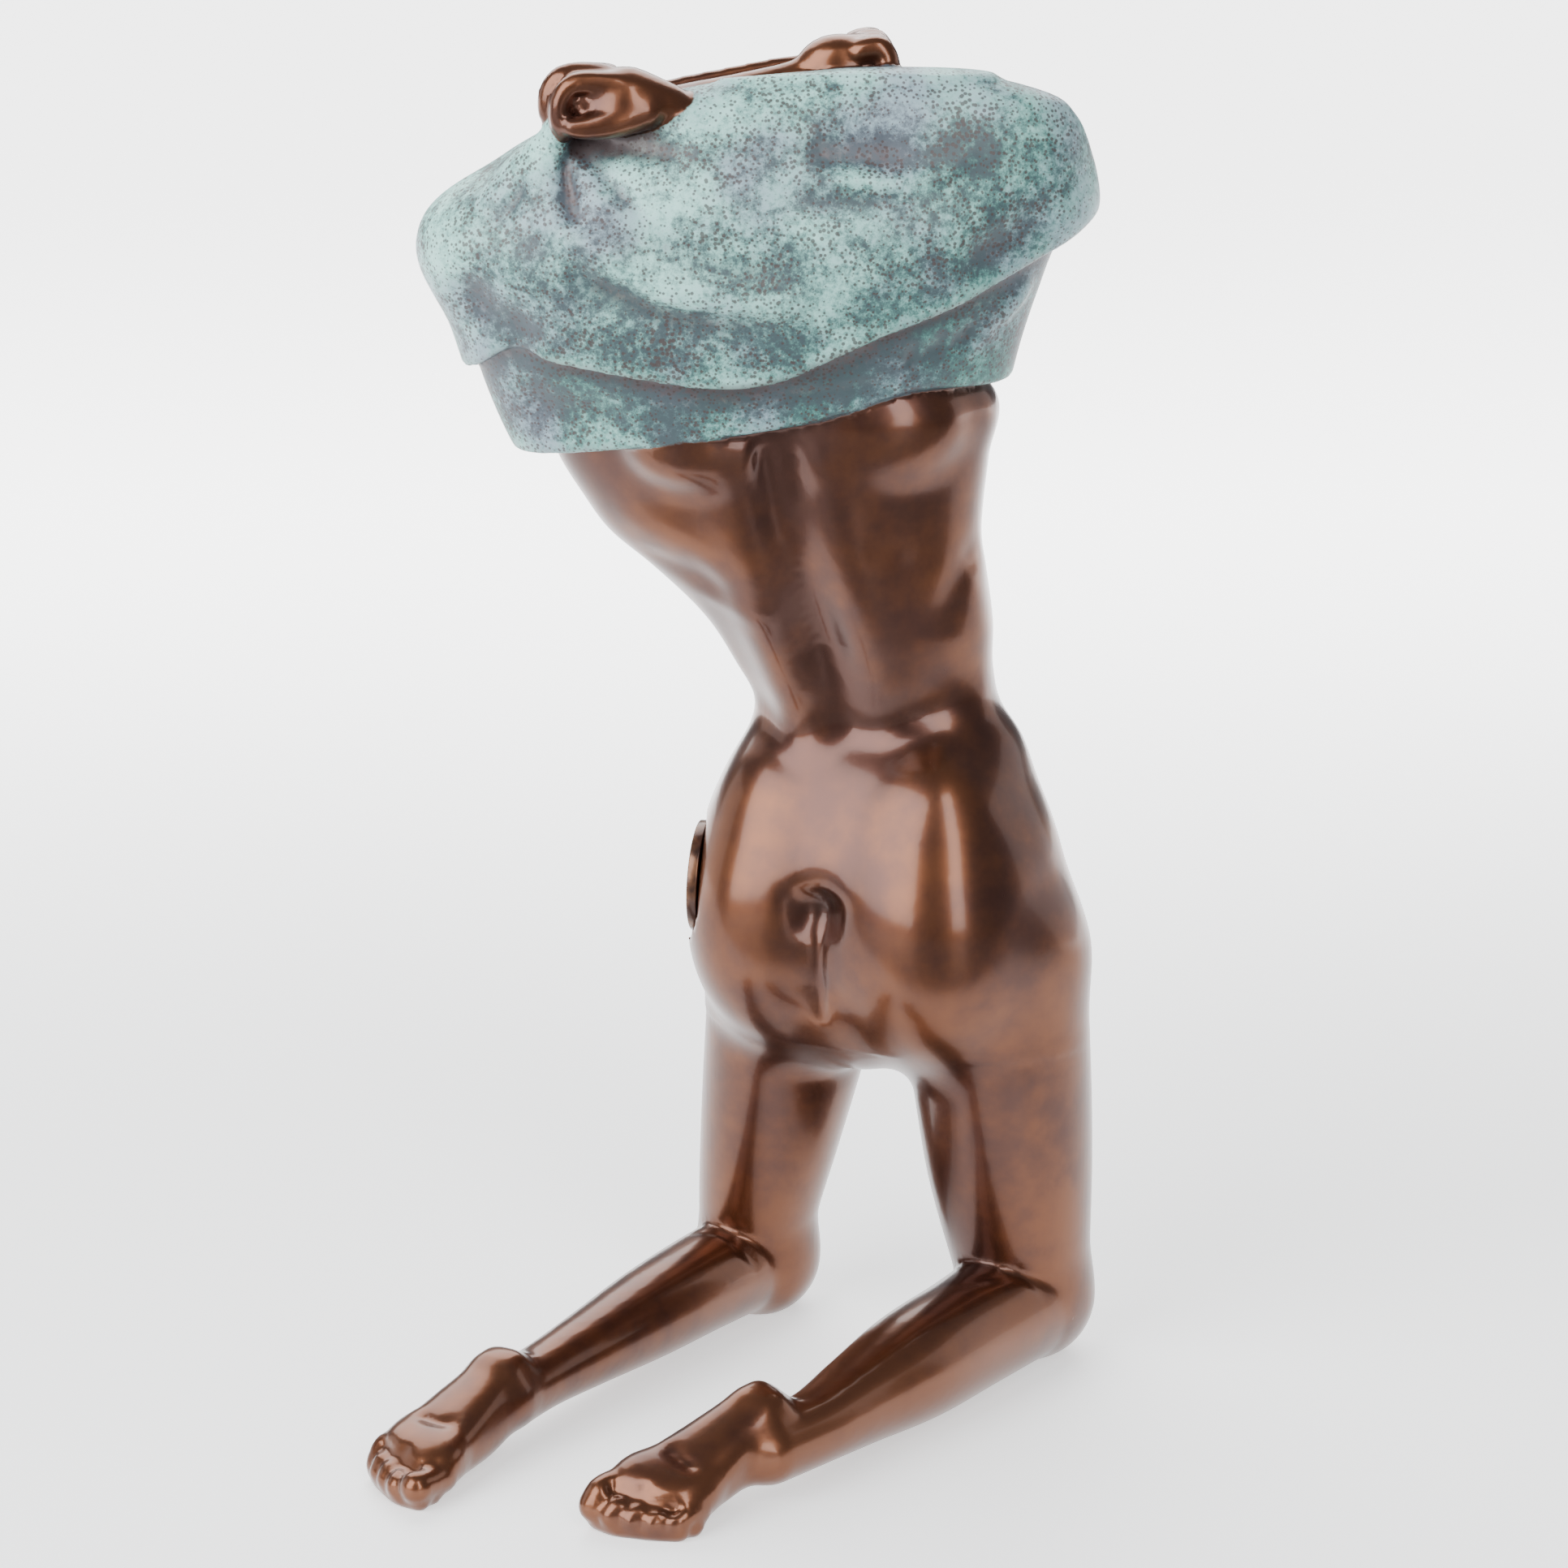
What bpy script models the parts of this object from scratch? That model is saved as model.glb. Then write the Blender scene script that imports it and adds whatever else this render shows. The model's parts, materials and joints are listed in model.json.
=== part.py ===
"""Bronze statue of a kneeling woman who pulls her shirt over her head.

The figure is one casting. It is shaped as clay is: every limb, muscle and fold is a simple form
that is blended into the ones before it, and the surface is then taken off the whole.
Places are in hundredths of the figure's height, +X to her right, +Y to her front, +Z up.
"""
import bmesh
import bpy
import numpy as np
from mathutils import Matrix, Vector

# Sizes in metres. The figure is described in units of a hundredth of about its height
FIGURE_HEIGHT = 0.320
UNIT = FIGURE_HEIGHT / 100
SEAL_DIAMETER = 0.0260
SEAL_THICKNESS = 0.0024
SEAL_EDGE = 0.0003
SEAL_GAP = 0.0004
SEAL_SIDES = 48
SEAL_EDGE_STEPS = 1

# The block of clay and the smallest lump of it, in units
CELL = 0.5
TRIANGLES = 9000
CLAY_LOW = (-34.0, -19.0, -1.5)
CLAY_HIGH = (27.0, 36.0, 102.0)
FAR = 9.0
SMOOTH_STEPS = 12
SOFTENING = 0.5
SOFTENING_ROUNDS = 2
SUNK = -0.1
GROUND_TOLERANCE = 1e-6

# How far a drawing tool is felt, in widths, and how fast its stroke deepens from either end
TOOL_REACH = 2.2
TOOL_FADE = 4

# Width of the fillet between one form and those before it
TIGHT = 0.25
CLOSE = 0.5
SOFT = 1.0
FLESHY = 2.5
BROAD = 4.0

# Plain metals
FIGURE_COLOR = (0.16, 0.07, 0.035)
SEAL_COLOR = (0.12, 0.06, 0.04)
METALLIC = 0.85
ROUGHNESS = 0.32

UP = np.array([0.0, 0.0, 1.0])


class Clay:
    """A block of space in small cells. Each holds its distance to the surface, less than zero inside."""

    def __init__(self, cell):
        self.cell = cell
        self.low = np.array(CLAY_LOW)
        self.axes = [
            np.arange(low, high + cell, cell, dtype=np.float32)
            for low, high in zip(CLAY_LOW, CLAY_HIGH)
        ]
        self.field = np.full([len(axis) for axis in self.axes], FAR, np.float32)

    def near(self, low, high):
        """The cells between two corners, and where they are."""
        cut = tuple(
            slice(max(0, int((a - start) / self.cell)), max(0, int((b - start) / self.cell) + 2))
            for a, b, start in zip(low, high, self.low)
        )
        x, y, z = (axis[part] for axis, part in zip(self.axes, cut))
        return cut, (x[:, None, None], y[None, :, None], z[None, None, :])

    def add(self, form, blend=CLOSE):
        """Puts a form on, with a fillet as wide as the blend."""
        distance, low, high = form
        cut, here = self.near(low - blend - 1, high + blend + 1)
        self.field[cut] = soft_min(self.field[cut], distance(*here), blend)

    def take(self, form, blend=CLOSE):
        """Cuts a form away."""
        distance, low, high = form
        cut, here = self.near(low - blend - 1, high + blend + 1)
        self.field[cut] = -soft_min(-self.field[cut], distance(*here), blend)

    def trim(self, height, blend):
        """Cuts away all that is lower than a height, which may change over the ground."""
        x, y, z = self.near(CLAY_LOW, CLAY_HIGH)[1]
        self.field = -soft_min(-self.field, (z - height(x, y)).astype(np.float32), blend)

    def draw(self, points, width, depth):
        """Draws a tool along the points. It leaves a groove, or a ridge where the depth is negative."""
        line = smooth(points)
        cut, here = self.near(line.min(0) - TOOL_REACH * width, line.max(0) + TOOL_REACH * width)
        best = np.full(self.field[cut].shape, FAR**2, np.float32)
        power = np.zeros_like(best)
        last = len(line) - 1
        for i, (a, b) in enumerate(zip(line, line[1:])):
            run = b - a
            offset = [axis - start for axis, start in zip(here, a)]
            along = np.clip(sum(o * r for o, r in zip(offset, run)) / (run @ run), 0, 1)
            gap = sum((o - along * r) ** 2 for o, r in zip(offset, run))
            share = (i + along) / last
            fade = np.minimum(1, TOOL_FADE * np.minimum(share, 1 - share))
            power = np.where(gap < best, fade, power)
            best = np.minimum(best, gap)
        self.field[cut] += (depth * power * np.exp(-best / width**2)).astype(np.float32)


def soft_min(a, b, blend):
    """The smaller of two distances, rounded where they are alike."""
    if blend <= 0:
        return np.minimum(a, b)
    reach = np.maximum(blend - np.abs(a - b), 0) / blend
    return np.minimum(a, b) - reach * reach * blend / 4


def unit(way):
    """The same direction, one long."""
    return np.asarray(way, float) / np.linalg.norm(way)


def through(places, values, at):
    """The value on a smooth line through the given ones."""
    places, values = np.asarray(places, float), np.asarray(values, float)
    slope = np.gradient(values, places)
    i = np.clip(np.searchsorted(places, at) - 1, 0, len(places) - 2)
    step = places[i + 1] - places[i]
    t = np.clip((at - places[i]) / step, 0, 1)
    start = values[i] * (1 + 2 * t) * (1 - t) ** 2 + slope[i] * step * t * (1 - t) ** 2
    end = values[i + 1] * t * t * (3 - 2 * t) + slope[i + 1] * step * t * t * (t - 1)
    return start + end


def smooth(points, count=SMOOTH_STEPS):
    """Many points on a smooth line through the given ones."""
    points = np.array(points, float)
    places = np.arange(len(points), dtype=float)
    fine = np.linspace(0, len(points) - 1, (len(points) - 1) * count + 1)
    return np.stack([through(places, column, fine) for column in points.T], 1)


def limb(a, b, start, end, flat=None, share=1.0):
    """A limb from a to b that changes from one radius to the other, flatter along one way."""
    a, b = np.asarray(a, float), np.asarray(b, float)
    run = b - a
    reach = max(start, end) * max(1.0, share)

    def distance(x, y, z):
        dx, dy, dz = x - a[0], y - a[1], z - a[2]
        along = np.clip((dx * run[0] + dy * run[1] + dz * run[2]) / (run @ run), 0, 1)
        dx, dy, dz = dx - along * run[0], dy - along * run[1], dz - along * run[2]
        squared = dx * dx + dy * dy + dz * dz
        if flat is not None:
            lean = dx * flat[0] + dy * flat[1] + dz * flat[2]
            squared = squared + lean * lean * (1 / share**2 - 1)
        return (np.sqrt(squared) - (start + (end - start) * along)).astype(np.float32)

    return distance, np.minimum(a, b) - reach, np.maximum(a, b) + reach


def tube(stations, flat=None, share=1.0):
    """A limb along a smooth line. A station is x, y, z and radius."""
    line = smooth(stations)
    parts = [limb(a[:3], b[:3], a[3], b[3], flat, share) for a, b in zip(line, line[1:])]
    return joined(parts, 0)


def joined(forms, blend):
    """Several forms as one, with their own fillet between them."""

    def distance(x, y, z):
        whole = forms[0][0](x, y, z)
        for form in forms[1:]:
            whole = soft_min(whole, form[0](x, y, z), blend)
        return whole

    return distance, np.min([f[1] for f in forms], 0), np.max([f[2] for f in forms], 0)


def mass(centre, radii, axes=None):
    """An egg, its radii along the axes."""
    centre, radii = np.asarray(centre, float), np.asarray(radii, float)
    axes = np.eye(3) if axes is None else np.asarray(axes, float)
    reach = np.sqrt(((radii[:, None] * axes) ** 2).sum(0))

    def distance(x, y, z):
        dx, dy, dz = x - centre[0], y - centre[1], z - centre[2]
        near = far = 0
        for radius, way in zip(radii, axes):
            along = dx * way[0] + dy * way[1] + dz * way[2]
            near = near + (along / radius) ** 2
            far = far + (along / radius**2) ** 2
        near = np.sqrt(near)
        return (near * (near - 1) / np.sqrt(far + 1e-9)).astype(np.float32)

    return distance, centre - reach, centre + reach


def disc(centre, facing, radius, half):
    """A flat round disc."""
    centre, facing = np.asarray(centre, float), unit(facing)

    def distance(x, y, z):
        dx, dy, dz = x - centre[0], y - centre[1], z - centre[2]
        along = dx * facing[0] + dy * facing[1] + dz * facing[2]
        out = np.sqrt(np.maximum(dx * dx + dy * dy + dz * dz - along * along, 0))
        return np.maximum(np.abs(along) - half, out - radius).astype(np.float32)

    return distance, centre - radius - half, centre + radius + half


def trunk(stations, power):
    """A body of rounded rings. A station is height, x, y, half width, half depth and turn."""
    table = np.array(stations, float)
    heights = table[:, 0]
    reach = table[:, 3:5].max() + 1
    low = np.array([table[:, 1].min() - reach, table[:, 2].min() - reach, heights[0]])
    high = np.array([table[:, 1].max() + reach, table[:, 2].max() + reach, heights[-1]])

    def distance(x, y, z):
        columns = [through(heights, column, z) for column in table.T[1:]]
        middle_x, middle_y, wide, deep, turn = columns
        turn = np.radians(turn)
        dx, dy = x - middle_x, y - middle_y
        across = np.abs((dx * np.cos(turn) + dy * np.sin(turn)) / wide)
        depth = np.abs((dy * np.cos(turn) - dx * np.sin(turn)) / deep)
        side = ((across**power + depth**power) ** (1 / power) - 1) * np.sqrt(wide * deep)
        return np.maximum(side, np.maximum(heights[0] - z, z - heights[-1])).astype(np.float32)

    return distance, low, high


def laid(form, origin, axes):
    """An upright form laid into a frame of its own, its height along the last axis."""
    distance, low, high = form
    origin, axes = np.asarray(origin, float), np.asarray(axes, float)
    reach = np.abs(axes.T) @ ((high - low) / 2)
    middle = origin + axes.T @ ((high + low) / 2)

    def turned(x, y, z):
        offset = (x - origin[0], y - origin[1], z - origin[2])
        return distance(*(sum(o * part for o, part in zip(offset, axis)) for axis in axes))

    return turned, middle - reach, middle + reach


def bag(sides, power, inset=0.0):
    """A trunk given by its left, right, back and front at each height."""
    stations = [
        (
            height,
            (left + right) / 2,
            (back + front) / 2,
            (right - left) / 2 - inset,
            (front - back) / 2 - inset,
            0,
        )
        for height, left, right, back, front in sides
    ]
    return trunk(stations, power)


# Hips and torso
HIP_TURN = -25.0
HIPS = np.array([7.7, 22.9, 36.0])
HIP_RIGHT = np.array([np.cos(np.radians(HIP_TURN)), np.sin(np.radians(HIP_TURN)), 0])
HIP_BACK = np.array([HIP_RIGHT[1], -HIP_RIGHT[0], 0])
HIP_AXES = [HIP_RIGHT, HIP_BACK, UP]
TORSO_POWER = 2.2
TORSO = [
    # height, x, y, half width, half depth, turn
    (27.0, 8.0, 22.8, 12.6, 6.2, -25),
    (32.0, 8.0, 22.8, 14.4, 7.0, -25),
    (35.3, 7.7, 22.8, 14.2, 7.2, -25),
    (39.6, 7.5, 22.9, 13.6, 7.1, -25),
    (42.0, 7.4, 23.0, 12.9, 6.8, -24),
    (45.0, 7.5, 23.2, 11.4, 6.3, -22),
    (48.2, 7.5, 23.2, 10.0, 5.9, -20),
    (50.3, 6.8, 23.1, 9.2, 5.8, -18),
    (53.0, 5.8, 22.8, 9.5, 5.9, -15),
    (56.5, 4.7, 22.2, 10.5, 6.4, -13),
    (60.7, 2.4, 21.4, 12.2, 7.0, -10),
    (63.2, 0.8, 21.0, 13.4, 7.3, -8),
    (66.0, -0.1, 20.6, 14.4, 7.5, -6),
    (69.0, -0.8, 20.2, 15.4, 7.5, -5),
    (74.0, -1.2, 19.6, 16.0, 7.2, -4),
    (79.0, -2.4, 19.0, 10.0, 6.4, -3),
]
CHEST_TURN = -7.0
SEATS = [
    # centre and radii in the frame of the hips: right, back, up
    ((-6.8, 4.6, -2.4), (6.3, 6.6, 8.2)),
    ((5.6, 4.6, -2.4), (7.2, 6.6, 8.2)),
]
BELLY = [
    ((0.0, -2.4, 4.0), (8.0, 6.2, 8.0)),
    ((0.0, -3.6, -7.0), (4.2, 3.4, 4.0)),
]
FLANKS = [
    # fill of the slope from the waist to each seat
    ((-6.4, 3.9, 0.5), (6.4, 7.0, 12.0)),
    ((5.4, 3.9, 0.5), (7.2, 7.0, 12.0)),
]
SACRUM = ((-1.0, 2.6, 0.2), (9.6, 7.7, 13.4))
BETWEEN_SEATS = ((-0.9, 4.2, -3.0), (3.0, 5.6, 7.2))
CHEST = np.array([0.6, 20.6, 67.0])
BREASTS = [
    # centre and radii in the frame of the chest: right, front, up
    ((-6.4, 5.0, 0.0), (4.9, 4.1, 4.6)),
    ((6.4, 5.0, 0.0), (4.9, 4.1, 4.6)),
]
SHOULDER_BLADES = [
    # centre, radii, lean, blend
    ((-6.2, 14.5, 70.8), (5.0, 3.0, 3.4), 0.15, 1.6),
    ((6.6, 14.1, 72.0), (5.2, 2.6, 3.6), -0.1, 2.5),
    ((-2.8, 13.9, 70.4), (1.3, 1.7, 1.7), 0.1, 1.0),
    ((1.9, 14.0, 70.4), (1.3, 1.5, 2.2), 0.0, 1.2),
]
BACK_MUSCLES = [
    [(3.4, 15.0, 69.0, 2.0), (5.0, 16.4, 61.0, 2.4), (7.2, 18.5, 54.0, 2.4), (8.8, 19.9, 47.0, 1.4)],
    [(-2.9, 15.4, 68.0, 2.0), (-1.6, 17.0, 61.0, 2.4), (1.0, 19.2, 54.0, 2.4), (2.8, 20.3, 47.0, 1.4)],
]
CLEFT = [
    # places in the frame of the hips
    (-1.0, 9.6, 2.4),
    (-1.1, 10.0, 0.6),
    (-1.2, 10.1, -4.0),
    (-1.2, 9.2, -8.0),
]
CLEFT_TOOLS = [(2.0, 0.7), (0.4, 1.1)]
DIMPLE = (-1.1, 10.2, 0.6)
DIMPLE_RADII = (0.7, 1.0, 1.0)

# Lines drawn into the body: points, width and depth, where a ridge has a depth below zero
BODY_LINES = [
    # Spine
    (
        [(-0.2, 12.6, 73.0), (0.2, 13.6, 66.7), (1.7, 15.2, 60.6),
         (3.1, 16.9, 55.6), (4.9, 17.6, 50.2)],
        2.3, 1.0,
    ),
    # Beside the shoulder blades
    ([(-1.3, 12.6, 71.5), (-1.2, 12.7, 69.4), (-0.8, 13.1, 66.7), (-0.3, 13.6, 63.5)], 0.8, 0.6),
    ([(0.9, 12.7, 71.5), (0.9, 12.9, 69.0), (1.3, 13.4, 66.0)], 0.7, 0.25),
    # Lower edges of the shoulder blades
    ([(-10.4, 15.2, 66.6), (-6.5, 12.6, 66.6), (-3.4, 12.4, 67.2)], 1.4, 0.15),
    # Muscle and ribs of the left side
    ([(-12.0, 17.5, 65.7), (-9.5, 16.0, 64.7), (-6.1, 15.2, 63.1), (-3.8, 15.3, 60.4)], 1.3, -0.25),
    ([(-10.2, 19.5, 63.0), (-8.4, 18.0, 61.8), (-5.6, 16.6, 60.2), (-3.6, 16.2, 58.0)], 1.2, 0.25),
    ([(-7.4, 19.6, 59.3), (-3.4, 16.3, 58.6), (-0.3, 15.6, 57.4)], 1.1, -0.2),
    # Right side
    ([(5.3, 13.1, 63.0), (7.3, 13.6, 63.2), (9.3, 14.3, 62.5)], 1.0, 0.15),
    ([(14.0, 18.6, 62.8), (12.9, 16.6, 61.7), (11.9, 15.7, 59.4), (11.5, 15.9, 56.5)], 1.4, 0.25),
    # Waist
    (
        [(-1.5, 21.6, 48.8), (2.0, 17.2, 49.8), (6.6, 16.7, 50.0),
         (10.7, 16.7, 51.2), (14.3, 18.8, 52.2)],
        1.8, 0.3,
    ),
    # Behind the knees
    ([(-7.2, 25.8, 7.9), (-5.0, 25.6, 8.0), (-3.0, 24.7, 6.9), (-1.8, 25.0, 5.2)], 0.5, 0.25),
    ([(12.2, 12.6, 8.3), (15.1, 14.5, 8.6), (17.6, 15.8, 8.3), (19.6, 16.0, 6.3)], 0.5, 0.25),
]

# Legs, each a smooth line of x, y, z and radius
LEFT_LEG = {
    "thigh": [
        (1.3, 25.6, 32.0, 6.7),
        (0.3, 27.0, 24.0, 6.2),
        (-0.9, 28.6, 16.0, 5.4),
        (-1.9, 30.2, 9.0, 4.6),
        (-2.1, 31.2, 4.4, 4.2),
    ],
    "shin": [
        (-3.2, 29.6, 4.2, 3.9),
        (-6.5, 24.4, 4.3, 3.7),
        (-10.2, 18.6, 4.2, 3.4),
        (-14.2, 12.4, 4.0, 2.8),
        (-17.4, 7.6, 3.8, 2.4),
        (-19.8, 4.0, 3.6, 2.4),
    ],
    "knee": (-1.8, 31.5, 4.2),
    "heel": (-20.4, 4.0, 4.9),
    "ahead": (-0.54, -0.79, -0.31),
    "out": (-0.82, 0.54, -0.03),
}
RIGHT_LEG = {
    "thigh": [
        (14.8, 19.6, 32.0, 7.2),
        (15.9, 20.0, 24.0, 6.7),
        (16.7, 20.7, 16.0, 6.2),
        (17.6, 21.4, 9.0, 5.3),
        (18.2, 21.8, 4.8, 4.7),
    ],
    "shin": [
        (17.6, 20.4, 4.7, 4.6),
        (13.6, 14.6, 4.4, 4.3),
        (9.4, 8.6, 4.2, 4.1),
        (5.4, 3.0, 3.9, 3.3),
        (2.2, -1.6, 3.7, 2.7),
        (-1.1, -5.2, 3.6, 2.6),
    ],
    "knee": (18.5, 22.2, 4.6),
    "heel": (-1.9, -4.4, 5.6),
    "ahead": (-0.72, -0.60, -0.35),
    "out": (0.74, -0.60, -0.31),
}
KNEE_RADII = (4.1, 4.1, 4.3)
SOLE_POWER = 2.7
SOLE = [
    # ahead of the heel, out, toward the sole, half width, half thickness, turn
    (-2.6, 0.0, -0.3, 0.8, 0.8, 0),
    (-1.9, 0.0, -0.2, 1.7, 1.7, 0),
    (-0.5, 0.0, -0.1, 2.15, 2.2, 0),
    (1.5, 0.0, -0.3, 2.35, 2.2, 0),
    (4.5, 0.1, -0.3, 2.75, 2.15, 0),
    (7.5, 0.1, -0.2, 3.05, 1.95, 0),
    (10.0, -0.1, 0.0, 3.0, 1.65, 0),
    (11.8, -0.6, 0.0, 2.2, 1.1, 0),
]
BALLS = [
    # centre and radii in the foot's frame: ahead, out, toward the sole
    ((9.7, -1.6, 0.2), (2.3, 1.7, 1.6)),
    ((9.1, 0.3, 0.2), (2.4, 2.0, 1.6)),
    ((8.2, 1.9, 0.1), (2.3, 1.5, 1.5)),
]
ARCH = ((4.4, -3.6, 2.4), (2.6, 1.3, 1.0))
INSTEP = [
    # place in the foot's frame and radius
    (0.5, 0.2, -1.2, 2.0),
    (4.5, 0.0, -1.5, 1.9),
    (8.0, 0.0, -0.9, 1.7),
]
INSTEP_WIDTH = 1.35
TOES = [
    # out from the middle of the foot, radius, tip ahead of the heel
    (-2.4, 1.2, 14.2),
    (-0.75, 0.92, 13.9),
    (0.62, 0.88, 13.2),
    (1.9, 0.84, 12.4),
    (3.05, 0.8, 11.4),
]
TOE_PRESS = 0.15
TOE_RISE = 0.5
TOE_LENGTH = 1.5
TOE_BED = 0.85
TOE_BACKS = (0.3, 1.6)
SOLE_LINES = [
    # points in the foot's frame, width and depth
    ([(11.6, -3.4, 0.6), (11.9, -1.6, 1.3), (11.2, 0.4, 1.4), (10.3, 2.1, 1.2), (9.4, 3.4, 0.5)], 0.42, 0.6),
    ([(6.6, -1.9, 1.5), (7.2, 0.0, 1.4), (6.8, 1.9, 1.3)], 0.6, 0.35),
    ([(10.2, 0.2, 1.9), (11.2, 0.1, 1.6)], 0.4, 0.35),
]

# Foundry seal on the left hip, and the flat seat behind it
SEAL_PLACE = (-6.05, 22.6, 37.0)
SEAL_FACING = (-0.98, 0.17, 0.04)
SEAT_RADIUS = 3.4
SEAT_DEPTH = 1.6

# Shirt
SHIRT_POWER = 2.3
SHIRT = [
    # height, left, right, back, front
    (66.0, -18.0, 16.0, 10.6, 27.4),
    (71.0, -20.8, 16.4, 10.2, 28.0),
    (74.5, -22.2, 17.1, 9.3, 28.6),
    (77.5, -23.1, 17.8, 8.4, 28.8),
    (81.1, -24.2, 18.9, 7.5, 28.8),
    (84.6, -24.9, 20.2, 7.2, 28.2),
    (86.6, -24.2, 21.4, 7.4, 27.4),
    (89.6, -20.8, 21.0, 8.2, 25.6),
    (91.8, -17.6, 20.5, 9.2, 23.0),
    (93.6, -14.0, 19.5, 10.0, 20.2),
    (95.0, -9.0, 17.6, 10.8, 17.2),
    (96.0, -4.0, 13.0, 11.6, 15.2),
]
LEFT_ELBOW = ((-20.0, 17.3, 84.2), (4.9, 5.6, 4.0))
RIGHT_SLEEVE = [
    (17.0, 16.5, 88.3, 4.0),
    (15.0, 14.8, 92.2, 3.5),
    (7.0, 13.2, 93.7, 3.0),
    (0.4, 12.4, 93.5, 2.6),
    (-6.5, 11.6, 92.9, 2.0),
]
PINCH = [
    (-15.2, 10.7, 93.3, 0.9),
    (-15.7, 11.4, 92.0, 1.3),
    (-16.2, 12.4, 90.0, 2.4),
    (-16.6, 13.4, 87.5, 3.6),
]
TURNED_EDGE = [
    # x, height of the line where the shirt is turned over itself
    (-30.0, 75.0),
    (-24.0, 75.2),
    (-21.6, 76.0),
    (-19.5, 77.5),
    (-15.3, 77.1),
    (-9.9, 76.3),
    (-5.5, 75.7),
    (-2.8, 75.7),
    (-0.2, 76.2),
    (3.4, 77.8),
    (6.9, 79.4),
    (11.3, 81.0),
    (17.7, 84.1),
    (20.1, 85.2),
    (22.0, 86.6),
    (28.0, 88.0),
]
HEM_HEIGHT = 72.3
HEM_SLOPE = 0.145
HEM_RISE = 1.2
HEM_RISE_PLACE = 9.0
HEM_RISE_WIDTH = 5.0
TURNED_DROP = 1.1
TURNED_LIP = (0.45, -0.3)

# Folds of the shirt: points, width and depth, where a ridge has a depth below zero
FOLDS = [
    # Long fold that falls from the pinch and swings across the back
    (
        [(-16.2, 10.2, 88.7), (-15.1, 8.9, 86.6), (-12.8, 8.0, 85.1),
         (-10.7, 7.7, 83.6), (-8.1, 7.5, 82.4)],
        1.1, -1.0,
    ),
    (
        [(-10.7, 7.7, 83.6), (-8.1, 7.4, 82.4), (-4.6, 7.0, 81.6),
         (-1.1, 7.0, 81.6), (2.4, 7.3, 82.0)],
        1.2, -1.1,
    ),
    (
        [(-15.4, 8.8, 83.2), (-12.4, 8.1, 82.2), (-9.7, 7.7, 81.2),
         (-5.4, 7.5, 79.9), (0.0, 7.6, 79.8)],
        1.6, 1.1,
    ),
    ([(-11.0, 8.2, 88.0), (-8.0, 7.9, 85.8), (-3.5, 7.6, 84.4), (2.0, 7.6, 84.4)], 1.8, 0.8),
    # Pleats that fan out of the pinch
    ([(-14.7, 11.6, 92.0), (-12.7, 10.2, 90.6), (-10.8, 8.9, 88.6), (-8.8, 8.1, 87.4)], 0.6, 0.6),
    ([(-14.6, 11.4, 91.4), (-13.2, 9.7, 89.3), (-12.0, 8.6, 87.4)], 0.8, -0.5),
    ([(-15.3, 11.8, 91.7), (-14.8, 10.4, 90.0), (-14.5, 9.0, 87.6), (-14.3, 8.6, 86.0)], 0.6, 0.6),
    ([(-15.8, 12.0, 91.4), (-15.6, 10.4, 89.4), (-15.8, 9.5, 87.6), (-16.4, 9.4, 85.6)], 0.8, -0.5),
    ([(-16.3, 12.4, 91.6), (-16.9, 11.6, 90.4), (-18.0, 10.9, 88.5), (-19.9, 10.6, 86.1)], 0.8, 0.6),
    ([(-17.2, 13.0, 91.1), (-19.1, 12.3, 89.2), (-21.1, 11.9, 87.2)], 1.0, -0.5),
    # Hollows under the fist and on the right
    ([(-13.6, 11.0, 91.8), (-10.2, 10.2, 91.6), (-5.8, 9.2, 92.1)], 1.0, 0.8),
    ([(1.0, 9.2, 92.1), (4.6, 9.3, 91.8), (9.0, 9.6, 91.9)], 1.5, 0.9),
    (
        [(2.1, 8.6, 90.5), (4.8, 8.5, 90.0), (7.2, 8.5, 89.6), (10.4, 9.1, 90.1),
         (13.1, 10.3, 91.5)],
        0.6, -0.6,
    ),
    ([(-0.3, 7.9, 88.7), (3.5, 8.0, 88.4), (8.4, 8.5, 88.7)], 1.0, 0.7),
    ([(11.8, 9.1, 83.8), (15.1, 10.2, 85.4), (18.5, 11.8, 88.5)], 1.6, 0.8),
    ([(-22.6, 11.8, 83.4), (-20.4, 11.5, 80.1), (-16.0, 10.2, 79.0)], 1.6, 0.9),
    # Lower band
    ([(13.0, 12.4, 78.4), (14.9, 13.0, 80.0), (17.4, 14.3, 82.6)], 0.8, -0.6),
    ([(-1.4, 9.8, 74.4), (1.9, 10.1, 74.7), (5.2, 10.4, 75.1), (7.7, 10.9, 75.3)], 0.6, 0.6),
    ([(1.9, 9.7, 75.8), (4.4, 9.7, 76.8), (6.9, 9.8, 78.2)], 0.6, 0.5),
    ([(-18.4, 13.9, 73.5), (-15.0, 12.4, 73.2), (-10.4, 11.1, 73.6)], 1.3, 0.6),
]

# Hands, each finger a line of x, y, z and radius
RIGHT_WRIST = [
    (-2.8, 13.1, 93.5, 0.7),
    (-6.4, 11.9, 94.0, 1.3),
    (-8.4, 11.1, 94.8, 1.6),
    (-10.4, 10.8, 95.2, 1.9),
]
RIGHT_PALM = ((-11.2, 11.0, 94.9), (2.8, 2.1, 2.2))
RIGHT_HOLLOW = ((-13.2, 11.5, 94.6), (2.2, 1.8, 1.9))
RIGHT_FINGER = [
    (-11.4, 9.9, 96.2, 0.9),
    (-13.9, 9.7, 96.3, 0.8),
    (-15.0, 9.6, 95.4, 0.75),
    (-15.2, 9.7, 94.0, 0.75),
    (-14.8, 10.0, 93.0, 0.7),
]
RIGHT_FINGERS = [(0.0, 0.0, 0.0), (-0.8, 1.4, 0.4), (-0.6, 2.8, 0.3), (0.0, 4.1, -0.2)]
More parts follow.
